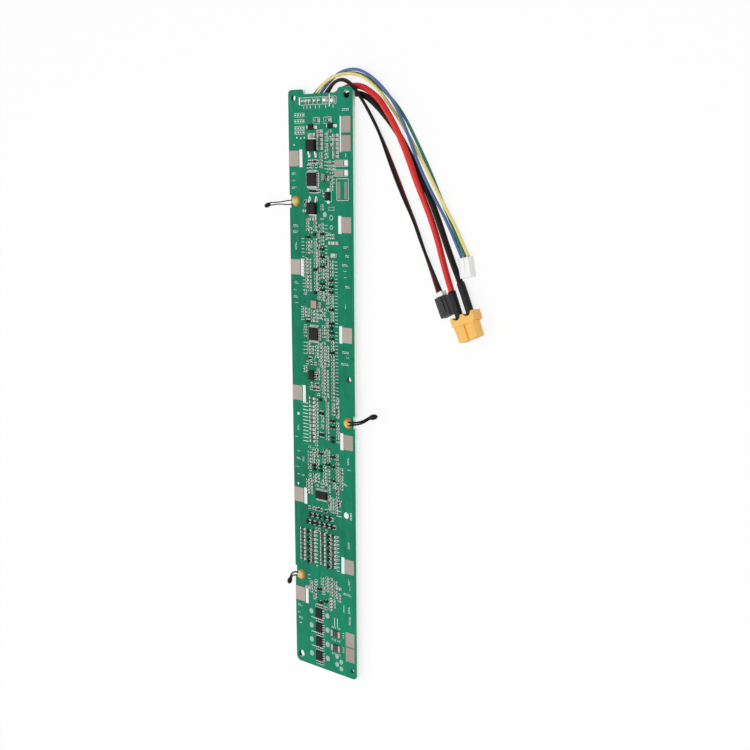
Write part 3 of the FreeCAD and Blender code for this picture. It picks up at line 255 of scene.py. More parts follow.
# upright faces: pale laminate round the outline, and a near-black painted shade on the walls inside the holes
from_side = mask.maths("ABSOLUTE", mask.along(0))
rim = mask.maths("MAXIMUM", mask.step(from_side, 20.6, 20.8), mask.step(from_middle, 147.3, 147.5))
wall = 1 - mask.step(mask.maths("ABSOLUTE", mask.facing(2)), 0.3, 0.6)
edge = wall * rim
fibre = mask.noise(3000.0, 2.0, (1, 1, 6))
laminate = mask.mix(fibre, (0.82, 0.98, 0.89), (0.92, 1.0, 0.95))
# painted shade: the walls inside the holes are near black, standing in for the shade in the bore
green_and_bore_shade = mask.mix(wall, green, (0.045, 0.05, 0.032))
mask.feed(Base_color=mask.mix(edge, green_and_bore_shade, laminate), Roughness=0.34 + edge * 0.35 + cloud * 0.08,
          Coat_weight=0.05 - edge * 0.05)
mask.bump(copper * 0.6 + tracks * 0.5 + weave_x * 0.12 + weave_y * 0.12 + cloud * 0.2, 0.35, 0.00003)


def coat_with(piece, finish):
    piece.data.materials.clear()
    piece.data.materials.append(finish.material)


def finish_node(name, finish):
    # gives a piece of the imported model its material
    part = nodes[name]
    coat_with(part, finish)
    return part


finish_node("circuit_board", mask)


# White legend ink: screen-printed onto the mask after it has cured. Bars mark the cell taps,
# and outlines, ticks and dots mark the parts. There are no letters.

ink = Finish("white_legend_ink", (0.80, 0.83, 0.80), 0.6)
worn = ink.noise(2600.0, 2.0)
ink.feed(Base_color=ink.mix(ink.step(worn, 0.5, 0.75) * 0.4, (0.84, 0.86, 0.84), (0.55, 0.68, 0.60)))
INK = 0.012 * MM


def join_as(name, members, finish=None):
    # joins the pieces into one object at the origin
    nothing_selected()
    for member in members:
        member.select_set(True)
    bpy.context.view_layer.objects.active = members[0]
    if len(members) > 1:
        bpy.ops.object.join()
    piece = bpy.context.object
    piece.name = name
    bpy.ops.object.transform_apply(location=True, rotation=True, scale=True)
    if finish:
        coat_with(piece, finish)
    nothing_selected()
    return piece


def block(x, y, z, width, length, height):
    # a plain block in millimetres: x and y are its centre and z its underside
    nothing_selected()
    bpy.ops.mesh.primitive_cube_add(size=1, location=(x * MM, y * MM, (z + height / 2) * MM))
    piece = bpy.context.object
    piece.scale = (width * MM, length * MM, height * MM)
    bpy.ops.object.transform_apply(location=True, rotation=True, scale=True)
    return piece


def copies(pattern, places):
    # copies of one modelled pattern, each with its own mesh: x, y, width scale, length scale, turn
    made = []
    for x, y, wide, long, turn in places:
        copy = pattern.copy()
        copy.data = pattern.data.copy()
        spot = Matrix.Translation((x * MM, y * MM, 0)) @ Matrix.Rotation(math.radians(turn), 4, "Z")
        copy.data.transform(spot @ Matrix.Diagonal((wide, long, 1, 1)))
        bpy.context.collection.objects.link(copy)
        made.append(copy)
    return made


def bars(places):
    # solid printed bars from their left, right, lower and upper edges
    dash = block(0, 0, BOARD_TOP / MM, 1, 1, INK / MM)
    made = copies(dash, [((a + b) / 2, (c + d) / 2, b - a, d - c, 0) for a, b, c, d in places])
    bpy.data.objects.remove(dash)
    return made


def outline_bars(a, b, c, d, line=0.16):
    # the four strokes of a printed rectangle
    return [(a, b, c, c + line), (a, b, d - line, d), (a, a + line, c, d), (b - line, b, c, d)]


def ticks(a, b, first, pitch, count, line):
    # a column of short printed dashes, one beside each small part
    return [(a, b, first - pitch * n - line / 2, first - pitch * n + line / 2) for n in range(count)]


def bar_at(x, y, wide, long):
    # one small bar from its centre and its half sizes
    return (x - wide, x + wide, y - long, y + long)


TAP_HALF = 4.35
strokes = [(-14.6, -12.5, y - TAP_HALF, y + TAP_HALF) for y in (116.3, 61.9, -3.2, -57.6, -112.0)]
strokes += [(11.7, 13.85, y - TAP_HALF, y + TAP_HALF) for y in (83.9, 29.5, -24.9, -90.0)]
strokes.append((13.3, 14.1, 119.0, 136.2))

# the box round the wire joints, with its divider and a tick below each joint
strokes += outline_bars(-13.7, 11.3, 142.2, 145.9, 0.17)
strokes += [(-14.4, -13.7, 142.4, 146.2), (6.2, 6.8, 141.0, 147.0)]
strokes += [bar_at(x, 141.1, 0.17, 0.7) for x in (-11.0, -8.8, -6.5, -3.0, -0.3, 4.0, 9.0)]
strokes += [bar_at(x, 144.05, 0.12, 1.85) for x in (-9.9, -7.7, -4.7, -1.6, 1.8)]

# outlined strips with a row of dots in each, near the top left corner
for y in (137.5, 134.5, 131.2, 129.0):
    strokes += outline_bars(-17.8, -10.7, y - 0.95, y + 0.95, 0.15)
    strokes += [bar_at(-16.9 + 1.75 * column, y, 0.4, 0.35) for column in range(4)]
strokes += [bar_at(x, y, 0.35, 0.35)
            for x, y in ((-16.2, 126.5), (-13.4, 126.3), (-11.0, 126.4), (-18.2, 123.0))]

# outlines of the capped parts below the wire joints and of the bare footprints
strokes += outline_bars(-4.7, -0.1, 132.9, 136.1) + outline_bars(2.4, 7.9, 132.9, 136.1)
strokes += outline_bars(10.7, 18.8, 95.7, 106.4, 0.2)
strokes += outline_bars(9.7, 18.6, 112.1, 115.3) + outline_bars(9.7, 18.6, 107.4, 110.6)
strokes += [(16.1, 18.3, 112.5, 115.0), (16.1, 18.3, 107.8, 110.3)]
strokes += [(5.3, 9.2, 92.4, 92.7), (5.3, 9.2, 90.6, 90.9)] + outline_bars(5.4, 9.0, 90.6, 92.7)
strokes += outline_bars(-9.6, -1.4, 101.9, 110.0, 0.2) + outline_bars(3.0, 7.4, 94.9, 100.4, 0.2)

# ticks beside the columns of small parts: left and right end, first y, pitch, count and line width
TICKS = [
    (9.0, 10.9, 65.6, 1.7, 20, 0.22), (9.0, 10.8, 30.4, 1.7, 16, 0.22), (9.0, 10.8, 2.3, 1.7, 10, 0.22),
    (8.9, 10.7, -17.2, 1.7, 6, 0.22), (-14.0, -12.0, 76.4, 1.7, 5, 0.22), (-13.6, -12.2, 67.4, 1.7, 11, 0.22),
    (2.6, 4.3, 83.4, 1.7, 5, 0.22), (2.4, 4.1, 73.2, 1.7, 16, 0.3), (-13.5, -11.2, 23.6, 1.9, 4, 0.22),
    (-15.0, -12.6, 41.8, 1.3, 6, 0.22), (-14.0, -11.4, 11.3, 1.5, 3, 0.22), (3.2, 4.7, -106.2, 1.7, 7, 0.22),
    (-14.6, -10.8, -8.0, 1.83, 12, 0.32), (-6.4, -5.2, -75.9, 2.03, 10, 0.34),
    (8.3, 10.2, -75.5, 2.03, 10, 0.3), (8.3, 9.2, -76.4, 2.03, 9, 0.2),
    (-12.6, -10.9, -100.4, 1.9, 2, 0.22), (2.6, 4.4, 119.6, 1.7, 6, 0.22),
    (8.1, 9.6, 119.6, 1.7, 10, 0.22), (8.6, 12.0, -61.7, 2.7, 2, 0.3), (18.0, 19.3, -61.4, 0.8, 5, 0.3),
    (-10.6, -5.2, -123.2, 7.85, 3, 0.3),
]
for row in TICKS:
    strokes += ticks(*row)

# short marks round the two current-sense resistors
for y in (-125.0, -131.9, -139.4):
    strokes += [(x, x + 0.28, y - 0.55, y + 0.55) for x in (4.4, 5.6, 6.8, 8.6, 9.8)]
strokes += [(12.0, 13.1, y, y + 0.26) for y in (-126.9, -128.1, -129.3, -134.7, -135.9, -137.1)]
strokes += [(6.2, 6.55, -124.4, -119.6), (8.2, 8.55, -124.4, -119.6)]

# Plain marks in the two margins, where a bare board has its notes: left, right, lower and upper
# edge of each.
MARGIN = [
    (15.0, 19.6, 137.3, 141.2), (17.0, 17.3, 116.5, 118.5), (-20.2, -17.0, 107.8, 109.8),
    (-20.0, -17.3, 104.4, 106.3), (-20.2, -17.0, 100.5, 103.0), (-20.0, -16.2, 78.4, 81.0),
    (-19.6, -15.4, 81.6, 84.2), (-19.2, -16.9, 70.8, 74.6), (15.1, 18.3, 71.6, 74.3),
    (16.4, 19.3, 67.7, 69.7), (14.2, 18.0, 63.3, 65.2), (15.0, 17.3, 60.1, 62.4),
    (15.3, 18.0, 57.0, 59.3), (16.1, 19.2, 52.6, 54.5), (15.0, 17.2, 42.8, 45.3),
    (-19.2, -15.7, 53.3, 54.6), (-20.0, -17.2, 49.2, 51.2), (-20.1, -17.0, 45.8, 47.6),
    (-19.0, -16.6, 42.6, 44.5), (13.6, 18.4, 20.1, 21.5), (16.4, 19.2, 17.4, 19.3),
    (12.9, 18.6, 13.9, 15.8), (-19.6, -17.0, -23.1, -20.2), (-20.6, -18.2, -27.4, -26.0),
    (-19.2, -16.7, -34.9, -33.6), (-19.8, -16.4, -39.7, -36.6), (-15.6, -14.2, -39.4, -36.2),
    (-20.8, -18.0, -43.4, -42.0), (-19.5, -16.8, -47.5, -45.7), (15.6, 18.3, -36.3, -32.0),
    (16.5, 19.0, -39.9, -38.1), (13.6, 16.8, -48.4, -45.6), (15.7, 18.1, -80.4, -76.6),
    (15.2, 18.6, -99.7, -96.3), (16.4, 18.5, -102.5, -100.2), (12.9, 18.4, -106.3, -103.9),
    (12.9, 14.1, -115.3, -111.5), (15.0, 18.5, -115.0, -111.4), (16.1, 18.3, -121.0, -115.8),
    (-20.2, -16.9, -119.9, -117.1), (-20.6, -18.6, -123.4, -122.1), (-19.9, -16.8, -126.5, -124.6),
    (-19.6, -17.9, -128.6, -128.0), (-16.2, -14.2, -46.9, -46.1),
]

# Each mark is one row of plain dashes of differing length, or two where there is room, and
# nothing crosses them. A mark too small for dashes is a single bar.
DASHES = (0.95, 0.5, 1.3, 0.5)
DASH_GAP = 0.4
DASH_LINE = 0.26
BAR_LINE = 0.3
ROOM_FOR_TWO = 2.9
for number, (a, b, c, d) in enumerate(MARGIN):
    if d - c < 1.0 or b - a < 1.3:
        strokes.append((a, b, c, c + BAR_LINE) if b - a > d - c else (a, a + BAR_LINE, c, d))
        continue
    wide = b - a >= d - c
    start, stop = (a, b) if wide else (c, d)
    middle = (c + d) / 2 if wide else (a + b) / 2
    rows = (middle - 0.48, middle + 0.22) if stop - start > ROOM_FOR_TWO else (middle - 0.13,)
    for row, side in enumerate(rows):
        reach = start
        for k in range(8):
            dash = DASHES[(k + row + number) % len(DASHES)]
            if reach + dash > stop:
                break
            ends = (reach, reach + dash)
            line = (side, side + DASH_LINE)
            strokes.append(ends + line if wide else line + ends)
            reach += dash + DASH_GAP
legend = join_as("printed_legend", bars(strokes), ink)
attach(legend, "root")

# round marks: three white discs and two rings
nothing_selected()
discs = []
for x, y, radius in ((15.4, -63.0, 1.65), (-18.0, -14.3, 0.8), (-18.9, -51.8, 0.6)):
    bpy.ops.mesh.primitive_cylinder_add(vertices=28, radius=radius * MM, depth=INK * 1.2,
                                        location=(x * MM, y * MM, BOARD_TOP + INK * 0.6))
    discs.append(bpy.context.object)
for x, y, radius in ((7.0, 87.2, 1.1), (7.0, 82.5, 0.85)):
    bpy.ops.mesh.primitive_torus_add(major_radius=radius * MM, minor_radius=0.11 * MM, major_segments=28,
                                     minor_segments=4, location=(x * MM, y * MM, BOARD_TOP))
    bpy.context.object.scale = (1, 1, 0.12)
    discs.append(bpy.context.object)
marks = join_as("printed_discs", discs, ink)
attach(marks, "root")


# Tinned copper: the cell tap pads, test points and bare footprints, where the mask leaves
# the copper open and hot air levelling has left a dull skin of solder.

tin = Finish("dull_tinned_copper", (0.44, 0.395, 0.34), 0.45, 0.75)
smear = tin.noise(700.0, 3.0, (1, 0.35, 1))
pinkish = tin.noise(90.0, 1.0)
aged = tin.step(tin.noise(13.0, 1.0), 0.42, 0.6)
skin = tin.mix(smear, (0.35, 0.315, 0.27), (0.47, 0.43, 0.375))
skin = tin.mix(tin.step(pinkish, 0.4, 0.65) * 0.6, skin, (0.47, 0.36, 0.325))
skin = tin.mix(aged * 0.45, skin, (0.26, 0.225, 0.195))

# the round test points look greener than the pads, and the bare footprint darker
x_place, y_place = tin.along(0), tin.along(1)
inner = 1 - tin.step(tin.maths("ABSOLUTE", x_place), 12.9, 13.1)
low_down = tin.step(0 - y_place, 117.0, 118.0)
lone_point = tin.step(y_place, 86.0, 86.5) * (1 - tin.step(y_place, 91.0, 91.5))
test_point = inner * tin.maths("MAXIMUM", low_down, lone_point)
footprint = tin.step(x_place, 11.0, 11.2) * tin.step(y_place, 96.0, 96.3)
footprint = footprint * (1 - tin.step(y_place, 105.2, 105.5))
skin = tin.mix(test_point, skin, (0.33, 0.50, 0.43))
skin = tin.mix(footprint, skin, (0.17, 0.26, 0.21))
tin.feed(Base_color=skin, Roughness=0.4 + smear * 0.2, Metallic=0.75 - test_point * 0.55 - footprint * 0.45)
tin.bump(smear, 0.3, 0.00004)
finish_node("contact_pads", tin)


# Packages: epoxy mouldings around the chips, matt black with a fine grain, and stamped leads
# plated with tin and soldered to the board.

epoxy = Finish("black_epoxy", (0.018, 0.018, 0.020), 0.55, 0.0, [("Specular IOR Level", 0.16)])
grain = epoxy.noise(9000.0, 2.0)
epoxy.feed(Base_color=epoxy.mix(grain, (0.010, 0.010, 0.011), (0.024, 0.021, 0.023)),
           Roughness=0.5 + grain * 0.15)
epoxy.bump(grain, 0.4, 0.00002)
plating = Finish("bright_tin_plating", (0.84, 0.84, 0.82), 0.32, 0.35)
dull = plating.noise(3000.0, 2.0)
plating.feed(Base_color=plating.mix(dull, (0.60, 0.60, 0.58), (0.90, 0.90, 0.89)),
             Roughness=0.28 + dull * 0.2)


def copy_of(name, label):
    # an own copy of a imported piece, selected and active
    copy = nodes[name].copy()
    copy.data = nodes[name].data.copy()
    bpy.context.collection.objects.link(copy)
    copy.name = label
    pick(copy)
    return copy


def join_flat_faces():
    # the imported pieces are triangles: their flat faces become whole again
    bpy.ops.object.mode_set(mode="EDIT")
    bpy.ops.mesh.select_all(action="SELECT")
    bpy.ops.mesh.remove_doubles(threshold=0.000001)
    bpy.ops.mesh.dissolve_limited(angle_limit=0.01)
    bpy.ops.object.mode_set(mode="OBJECT")


def round_edges(piece, width, segments):
    # bevels all edges but the slight ones
    rounding = piece.modifiers.new("rounded", "BEVEL")
    rounding.width = width * MM
    rounding.segments = segments
    rounding.limit_method = "ANGLE"
    rounding.angle_limit = math.radians(35)
    bpy.ops.object.modifier_apply(modifier="rounded")


def softened(name, finish, bevel, segments=2):
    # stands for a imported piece: its own shape with the moulded corners rounded
    copy = copy_of(name, name + "_dressed")
    join_flat_faces()
    round_edges(copy, bevel, segments)
    bpy.ops.object.shade_smooth_by_angle(angle=math.radians(40))
    coat_with(copy, finish)
    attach(copy, "root")
    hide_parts(name)
    nothing_selected()
    return copy


for name in ("cell_monitor", "microcontroller", "interface_chip", "balance_control_chip"):
    softened(name + "_body", epoxy, 0.12)
    finish_node(name + "_leads", plating)
for name in ("regulator_bodies", "power_transistor_bodies", "logic_chip_bodies", "diode_bodies"):
    softened(name, epoxy, 0.1)
for name in ("power_transistor_leads", "logic_chip_leads", "diode_terminals"):
    finish_node(name, plating)
softened("small_transistors", epoxy, 0.08, 1)

# the two tabs lie outside y 88 to 126 mm: they are rubbed, and the leads between are bright
tab = Finish("dull_regulator_tab", (0.5, 0.5, 0.48), 0.45, 0.5)
y_place = tab.along(1)
plate = tab.step(y_place, 125.9, 126.0) + (1 - tab.step(y_place, 88.2, 88.3))
rub = tab.step(tab.noise(900.0, 3.0, (1, 0.4, 1)), 0.4, 0.6)
rubbed = tab.mix(rub, (0.11, 0.12, 0.11), (0.58, 0.58, 0.55))
tab.feed(Base_color=tab.mix(plate, (0.85, 0.85, 0.83), rubbed), Roughness=0.35 + rub * 0.2)
finish_node("regulator_leads", tab)
finish_node("small_transistor_legs", plating)


# Chip resistors and capacitors: ceramic blocks with a plated cap over each end, stood on a pair
# of tinned pads. The machine that places them leaves each a little turned.

glaze = Finish("black_resistor_glaze", (0.05, 0.048, 0.045), 0.42, 0.0, [("Specular IOR Level", 0.25)])
speck = glaze.noise(420.0, 2.0)
glaze.feed(Base_color=glaze.mix(glaze.step(speck, 0.42, 0.7), (0.018, 0.018, 0.018), (0.17, 0.155, 0.14)))
brown = Finish("fired_ceramic", (0.27, 0.23, 0.19), 0.5, 0.0, [("Specular IOR Level", 0.3)])
tone = brown.noise(180.0, 1.0)
brown.feed(Base_color=brown.mix(tone, (0.19, 0.165, 0.135), (0.36, 0.30, 0.25)))
slate = Finish("grey_ceramic", (0.20, 0.235, 0.21), 0.5, 0.0, [("Specular IOR Level", 0.3)])
shade = slate.noise(300.0, 1.0)
slate.feed(Base_color=slate.mix(slate.step(shade, 0.4, 0.6), (0.07, 0.10, 0.085), (0.27, 0.29, 0.26)))
shunt_black = Finish("shunt_coating", (0.05, 0.045, 0.045), 0.5, 0.0, [("Specular IOR Level", 0.3)])
rub = shunt_black.noise(900.0, 2.0)
shunt_black.feed(Base_color=shunt_black.mix(rub, (0.025, 0.022, 0.022), (0.09, 0.08, 0.078)))


SOLDER_FILM = 0.02
PAD_HEIGHT = 0.05
PAD_MARGIN = 0.1
CAP_BEVEL = 0.05


def chip_pattern(name, width, length, height, cap, finish, pads=0.3):
    # one chip at the origin, lying along X on its two pads, with caps a little thicker than its body
    low = BOARD_TOP / MM
    foot = low + SOLDER_FILM
    body = block(0, 0, foot, width - 2 * cap * 0.9, length * 0.97, height - 0.03)
    body.data.materials.append(finish.material)
    ends = []
    for side in (-1, 1):
        end = block(side * (width - cap) / 2, 0, foot, cap, length, height)
        pick(end)
        for edge_line in end.data.edges:
            a, b = (end.data.vertices[i].co for i in edge_line.vertices)
            edge_line.select = min(a.z, b.z) > BOARD_TOP + height * MM * 0.5
        bpy.ops.object.mode_set(mode="EDIT")
        bpy.context.tool_settings.mesh_select_mode = (False, True, False)
        bpy.ops.mesh.bevel(offset=CAP_BEVEL * MM, segments=1)
        bpy.ops.object.mode_set(mode="OBJECT")
        ends.append(end)
        pad_middle = side * (width / 2 - cap / 2 + pads / 2)
        ends.append(block(pad_middle, 0, low, cap + pads, length + PAD_MARGIN, PAD_HEIGHT))
    for end in ends:
        end.data.materials.append(plating.material)
    return join_as(name, [body] + ends)


def solids_of(name):
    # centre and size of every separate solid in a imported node, in millimetres
    mesh = bmesh.new()
    mesh.from_mesh(nodes[name].data)
    bmesh.ops.remove_doubles(mesh, verts=mesh.verts, dist=0.000001)
    seen = set()
    found = []
    for start in mesh.verts:
        if start.index in seen:
            continue
        seen.add(start.index)
        island = [start]
        for vertex in island:
            for side in vertex.link_edges:
                other = side.other_vert(vertex)
                if other.index not in seen:
                    seen.add(other.index)
                    island.append(other)
        low = Vector([min(v.co[i] for v in island) for i in range(3)]) / MM
        high = Vector([max(v.co[i] for v in island) for i in range(3)]) / MM
        found.append(((low + high) / 2, high - low))
    mesh.free()
    return found


random.seed(7)
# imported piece, width, length, height, share of the length that is drawn, cap and finish
CHIPS = [
    ("chip_resistors", 1.6, 0.8, 0.45, 1.0, 0.36, glaze),
    ("chip_capacitors", 1.6, 0.8, 0.8, 1.0, 0.34, brown),
    ("large_capacitors", 3.2, 1.6, 0.8, 1.0, 0.45, slate),
    ("balance_resistors", 3.2, 1.6, 0.6, 0.86, 0.46, glaze),
]
# above this y a piece's chips have another cap and finish
OTHERS_ABOVE = {"chip_capacitors": (130.0, 0.2, glaze), "balance_resistors": (-40.0, 0.5, slate)}
BOARD_END = 150.0
spots = []
for name, width, length, height, drawn, cap, finish in CHIPS:
    border, other_cap, other_finish = OTHERS_ABOVE.get(name, (BOARD_END, cap, finish))
    made = []
    for above, end_cap, skin in ((False, cap, finish), (True, other_cap, other_finish)):
        pattern = chip_pattern("pattern", width, length, height, end_cap, skin)
        places = []
        for centre, size in solids_of(name):
            if above != (centre.y > border):
                continue
            turn = random.uniform(-2.5, 2.5)
            places.append((centre.x, centre.y, size.x / width, size.y / length * drawn, turn))
            if width < 2.0:
                spots.append((centre.x, centre.y, size.y > size.x))
        made += copies(pattern, places)
        bpy.data.objects.remove(pattern)
    dressed = join_as(name + "_dressed", made)
    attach(dressed, "root")
    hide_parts(name)

# Many more of the smallest resistors, capacitors and transistors fill the gaps between the
# groups, too small to matter to the board's fit. In a column they lie across the board: x,
# first y, pitch down the board and count.
COLUMNS = [
    (0.5, 118.4, 1.6, 6), (4.6, 128.0, 1.6, 8), (4.6, 108.8, 1.6, 3), (7.6, 109.0, 1.6, 6),
    (7.0, 129.0, 1.6, 5), (0.9, 92.8, 1.6, 2), (0.9, 86.4, 1.6, 1), (-10.6, 95.0, 1.6, 3),
    (-7.1, 83.0, 1.65, 3), (-7.1, 74.75, 1.65, 5), (-1.9, 83.5, 1.65, 26), (4.1, 67.5, 1.65, 18),
    (3.4, 23.35, 1.65, 1), (3.4, 11.8, 1.65, 1), (3.4, -3.05, 1.65, 1), (-11.5, 50.1, 1.65, 2),
    (-12.0, 32.0, 1.65, 4), (-11.9, 10.7, 1.65, 2), (-1.0, 12.1, 1.65, 1), (1.6, -4.75, 1.65, 1),
    (-3.0, 10.4, 1.65, 4), (-3.0, -2.8, 1.65, 1), (10.3, -4.0, 1.65, 14), (-0.5, -14.6, 1.65, 4),
    (-5.1, -25.67, 1.83, 3), (-9.9, -31.0, 1.65, 1), (-9.9, -44.2, 1.65, 3), (-7.2, -31.8, 1.65, 1),
    (-7.2, -49.95, 1.65, 1), (-5.0, -50.8, 1.65, 1), (-0.9, -48.0, 1.65, 1), (1.5, -30.6, 1.65, 1),
    (1.5, -48.75, 1.65, 2), (3.6, -36.15, 1.65, 1), (3.6, -49.35, 1.65, 3), (9.5, -33.0, 1.65, 2),
    (9.5, -47.85, 1.65, 5), (11.4, -56.15, 1.65, 1), (3.9, -55.2, 1.6, 6), (10.6, -57.2, 1.6, 2),
    (-7.6, -112.4, 1.6, 1), (-1.2, -105.2, 1.6, 3),
]
# In a row they stand along the board: first x, y, pitch to the right and count.
ROWS = [
    (-8.6, 112.4, 1.45, 5), (-8.0, 114.7, 1.5, 5), (-9.6, 100.2, 1.45, 8), (2.1, 98.2, 1.45, 1),
    (-9.3, 2.4, 1.45, 6), (-8.6, 0.2, 1.45, 5), (-10.8, 13.2, 1.45, 5), (-9.4, 15.6, 1.45, 3),
    (-10.9, -63.2, 1.75, 8), (-8.15, -66.9, 3.5, 5), (-10.15, -70.9, 3.5, 6), (-5.8, -74.1, 1.75, 2),
    (1.2, -74.1, 1.75, 1), (-6.6, -115.9, 1.45, 6), (-6.5, -123.8, 1.35, 4), (-6.5, -131.65, 1.35, 4),
    (-6.5, -139.5, 1.35, 4), (-6.5, -147.3, 1.35, 4),
]
across = [(x, first - pitch * n) for x, first, pitch, count in COLUMNS for n in range(count)]
along = [(first + pitch * n, y) for first, y, pitch, count in ROWS for n in range(count)]
small_resistor = chip_pattern("pattern", 1.5, 0.78, 0.4, 0.33, glaze, 0.2)
small_capacitor = chip_pattern("pattern", 1.3, 0.72, 0.7, 0.26, brown, 0.25)
tiny_transistor = chip_pattern("pattern", 1.5, 1.05, 0.8, 0.14, epoxy, 0.3)
kinds = (small_resistor, small_resistor, small_capacitor, small_resistor, tiny_transistor, small_resistor)
made = []
EMPTY_SHARE = 0.12
for places, turn in ((across, 0), (along, 90)):
    for x, y in places:
        if random.random() > EMPTY_SHARE:
            shifted_x = x + random.uniform(-0.15, 0.15)
            shifted_y = y + random.uniform(-0.1, 0.1)
            skewed = turn + random.uniform(-4, 4)
            made += copies(random.choice(kinds), [(shifted_x, shifted_y, 1, 1, skewed)])
for pattern in (small_resistor, small_capacitor, tiny_transistor):
    bpy.data.objects.remove(pattern)
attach(join_as("filling_parts", made), "root")
spots += [(x, y, False) for x, y in across] + [(x, y, True) for x, y in along]

# most small parts have printed dashes beside them: start and end of each dash
DASH_RUNS = [
    [(-0.8, 0.8)],
    [(-0.8, -0.2), (0.1, 0.8)],
    [(-0.7, -0.4), (-0.1, 0.7)],
    [(-0.75, -0.35), (-0.15, 0.2), (0.4, 0.8)],
    [],
]
NEAR_SIDE, FAR_SIDE = 0.62, 0.85
dashes = []
for x, y, upright in spots:
    for start, end in DASH_RUNS[random.randrange(5)]:
        if upright:
            dashes.append((x + NEAR_SIDE, x + FAR_SIDE, y + start, y + end))
        else:
            dashes.append((x + start, x + end, y + NEAR_SIDE, y + FAR_SIDE))
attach(join_as("part_dashes", bars(dashes), ink), "root")

# diodes, the fuse, the current-sense resistors, the crystal and the large capacitor
softened("small_diodes", epoxy, 0.08, 1)
pale = Finish("pale_fuse_ceramic", (0.5, 0.5, 0.47), 0.5, 0.0, [("Specular IOR Level", 0.3)])
chalk = pale.noise(700.0, 2.0)
pale.feed(Base_color=pale.mix(pale.step(chalk, 0.4, 0.65), (0.34, 0.35, 0.32), (0.70, 0.69, 0.66)))
softened("fuse_block", pale, 0.08, 1)
softened("current_sense_resistors", shunt_black, 0.04, 1)
shunt_end = Finish("shunt_terminal", (0.62, 0.55, 0.50), 0.4, 0.35)
right_end = shunt_end.step(shunt_end.along(0), 8.0, 9.0)
scuff = shunt_end.noise(1100.0, 2.0)
grey_end = shunt_end.mix(scuff, (0.26, 0.27, 0.25), (0.56, 0.55, 0.52))
pink_end = shunt_end.mix(scuff, (0.38, 0.25, 0.21), (0.70, 0.55, 0.48))
shunt_end.feed(Base_color=shunt_end.mix(right_end, grey_end, pink_end))
finish_node("current_sense_terminals", shunt_end)
can = Finish("plated_can", (0.42, 0.36, 0.33), 0.38, 0.9)
polish = can.noise(1500.0, 2.0)
can.feed(Base_color=can.mix(polish, (0.22, 0.165, 0.14), (0.48, 0.37, 0.33)), Roughness=0.32 + polish * 0.2)
softened("crystal", can, 0.3, 3)
softened("ceramic_capacitor", slate, 0.12, 2)


# Solder lands: the wide tinned areas beside the diodes, the regulators and the power transistors,
# wetted with a thin, uneven layer of solder that shows bright beside the black mouldings.

LAND_HEIGHT = 0.09
LANDS = [
    (-2.9, 131.3, 1.7, 1.5), (-8.9, 131.5, 0.8, 1.5), (10.7, 131.7, 1.6, 1.4), (4.7, 131.8, 0.8, 1.4),
    (-0.9, 134.6, 1.1, 1.5), (6.9, 134.5, 1.2, 1.4), (-7.6, 118.0, 1.5, 2.0), (-3.1, 118.0, 1.5, 2.0),
    (-7.6, 96.1, 1.5, 1.9), (-3.1, 96.1, 1.5, 1.9), (5.6, 74.8, 1.2, 1.5), (5.2, 101.1, 1.6, 1.1),
    (5.2, 94.6, 1.6, 0.9), (7.4, 68.8, 0.9, 2.0), (10.0, 68.8, 0.9, 2.0),
]
lands = [block(x, y, BOARD_TOP / MM, width, length, LAND_HEIGHT) for x, y, width, length in LANDS]
lands = join_as("solder_lands", lands, plating)
pick(lands)
round_edges(lands, 0.07, 2)
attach(lands, "root")


# Wire joints: each stripped and twisted conductor comes up through its hole and ends in a
# bright cone of hand-laid solder, all of them in a row at the wire end.

solder = Finish("hand_laid_solder", (0.70, 0.69, 0.67), 0.2, 1.0)
ripple = solder.noise(1800.0, 2.0)
solder.feed(Roughness=0.15 + ripple * 0.2)
solder.bump(ripple, 0.5, 0.0001)
softened("wire_solder_joints", solder, 0.15, 2)


# Wires: stranded copper in soft coloured insulation, cut to length and soldered before the plugs
# are crimped on. They leave from behind the wire end and lie in loose curves to the right.


def insulation(name, colour, paler, shine=0.4):
    finish = Finish(name, colour, 0.38, 0.0, [("Specular IOR Level", shine)])
    handled = finish.noise(250.0, 2.0)
    finish.feed(Base_color=finish.mix(handled * 0.5, colour, paler), Roughness=0.34 + handled * 0.15)
    finish.bump(finish.noise(2500.0, 1.0), 0.15, 0.00005)
    return finish


red = insulation("red_insulation", (0.68, 0.018, 0.014), (0.80, 0.036, 0.028))
# the thin red charge wire lies under the black one: its red insulation is painted a dark maroon as painted
# shade
shaded_red = insulation("red_insulation_painted_shade", (0.13, 0.012, 0.014), (0.22, 0.022, 0.024), 0.2)
black = insulation("black_insulation", (0.008, 0.007, 0.006), (0.020, 0.016, 0.014), 0.16)
yellow = insulation("yellow_insulation", (0.80, 0.67, 0.20), (0.90, 0.80, 0.36))
greenish = insulation("green_insulation", (0.025, 0.15, 0.115), (0.06, 0.24, 0.19), 0.3)
blue = insulation("blue_insulation", (0.075, 0.14, 0.33), (0.14, 0.24, 0.46), 0.3)


def wire(name, route, diameter, finish):
    # one smooth curve with the route's points as its control points
    curve = bpy.data.curves.new(name, "CURVE")
    curve.dimensions = "3D"
    line = curve.splines.new("NURBS")
    line.points.add(len(route) - 1)
    for point, (x, y, z) in zip(line.points, route):
        point.co = (x * MM, y * MM, z * MM, 1)
    line.order_u = 3
    line.use_endpoint_u = True
    line.resolution_u = 8
    curve.bevel_depth = diameter / 2 * MM
    curve.bevel_resolution = 5
    curve.use_fill_caps = True
    curve.materials.append(finish.material)
    piece = bpy.data.objects.new(name + "_dressed", curve)
    bpy.context.collection.objects.link(piece)
    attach(piece, "root")
    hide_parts(name)
    return piece


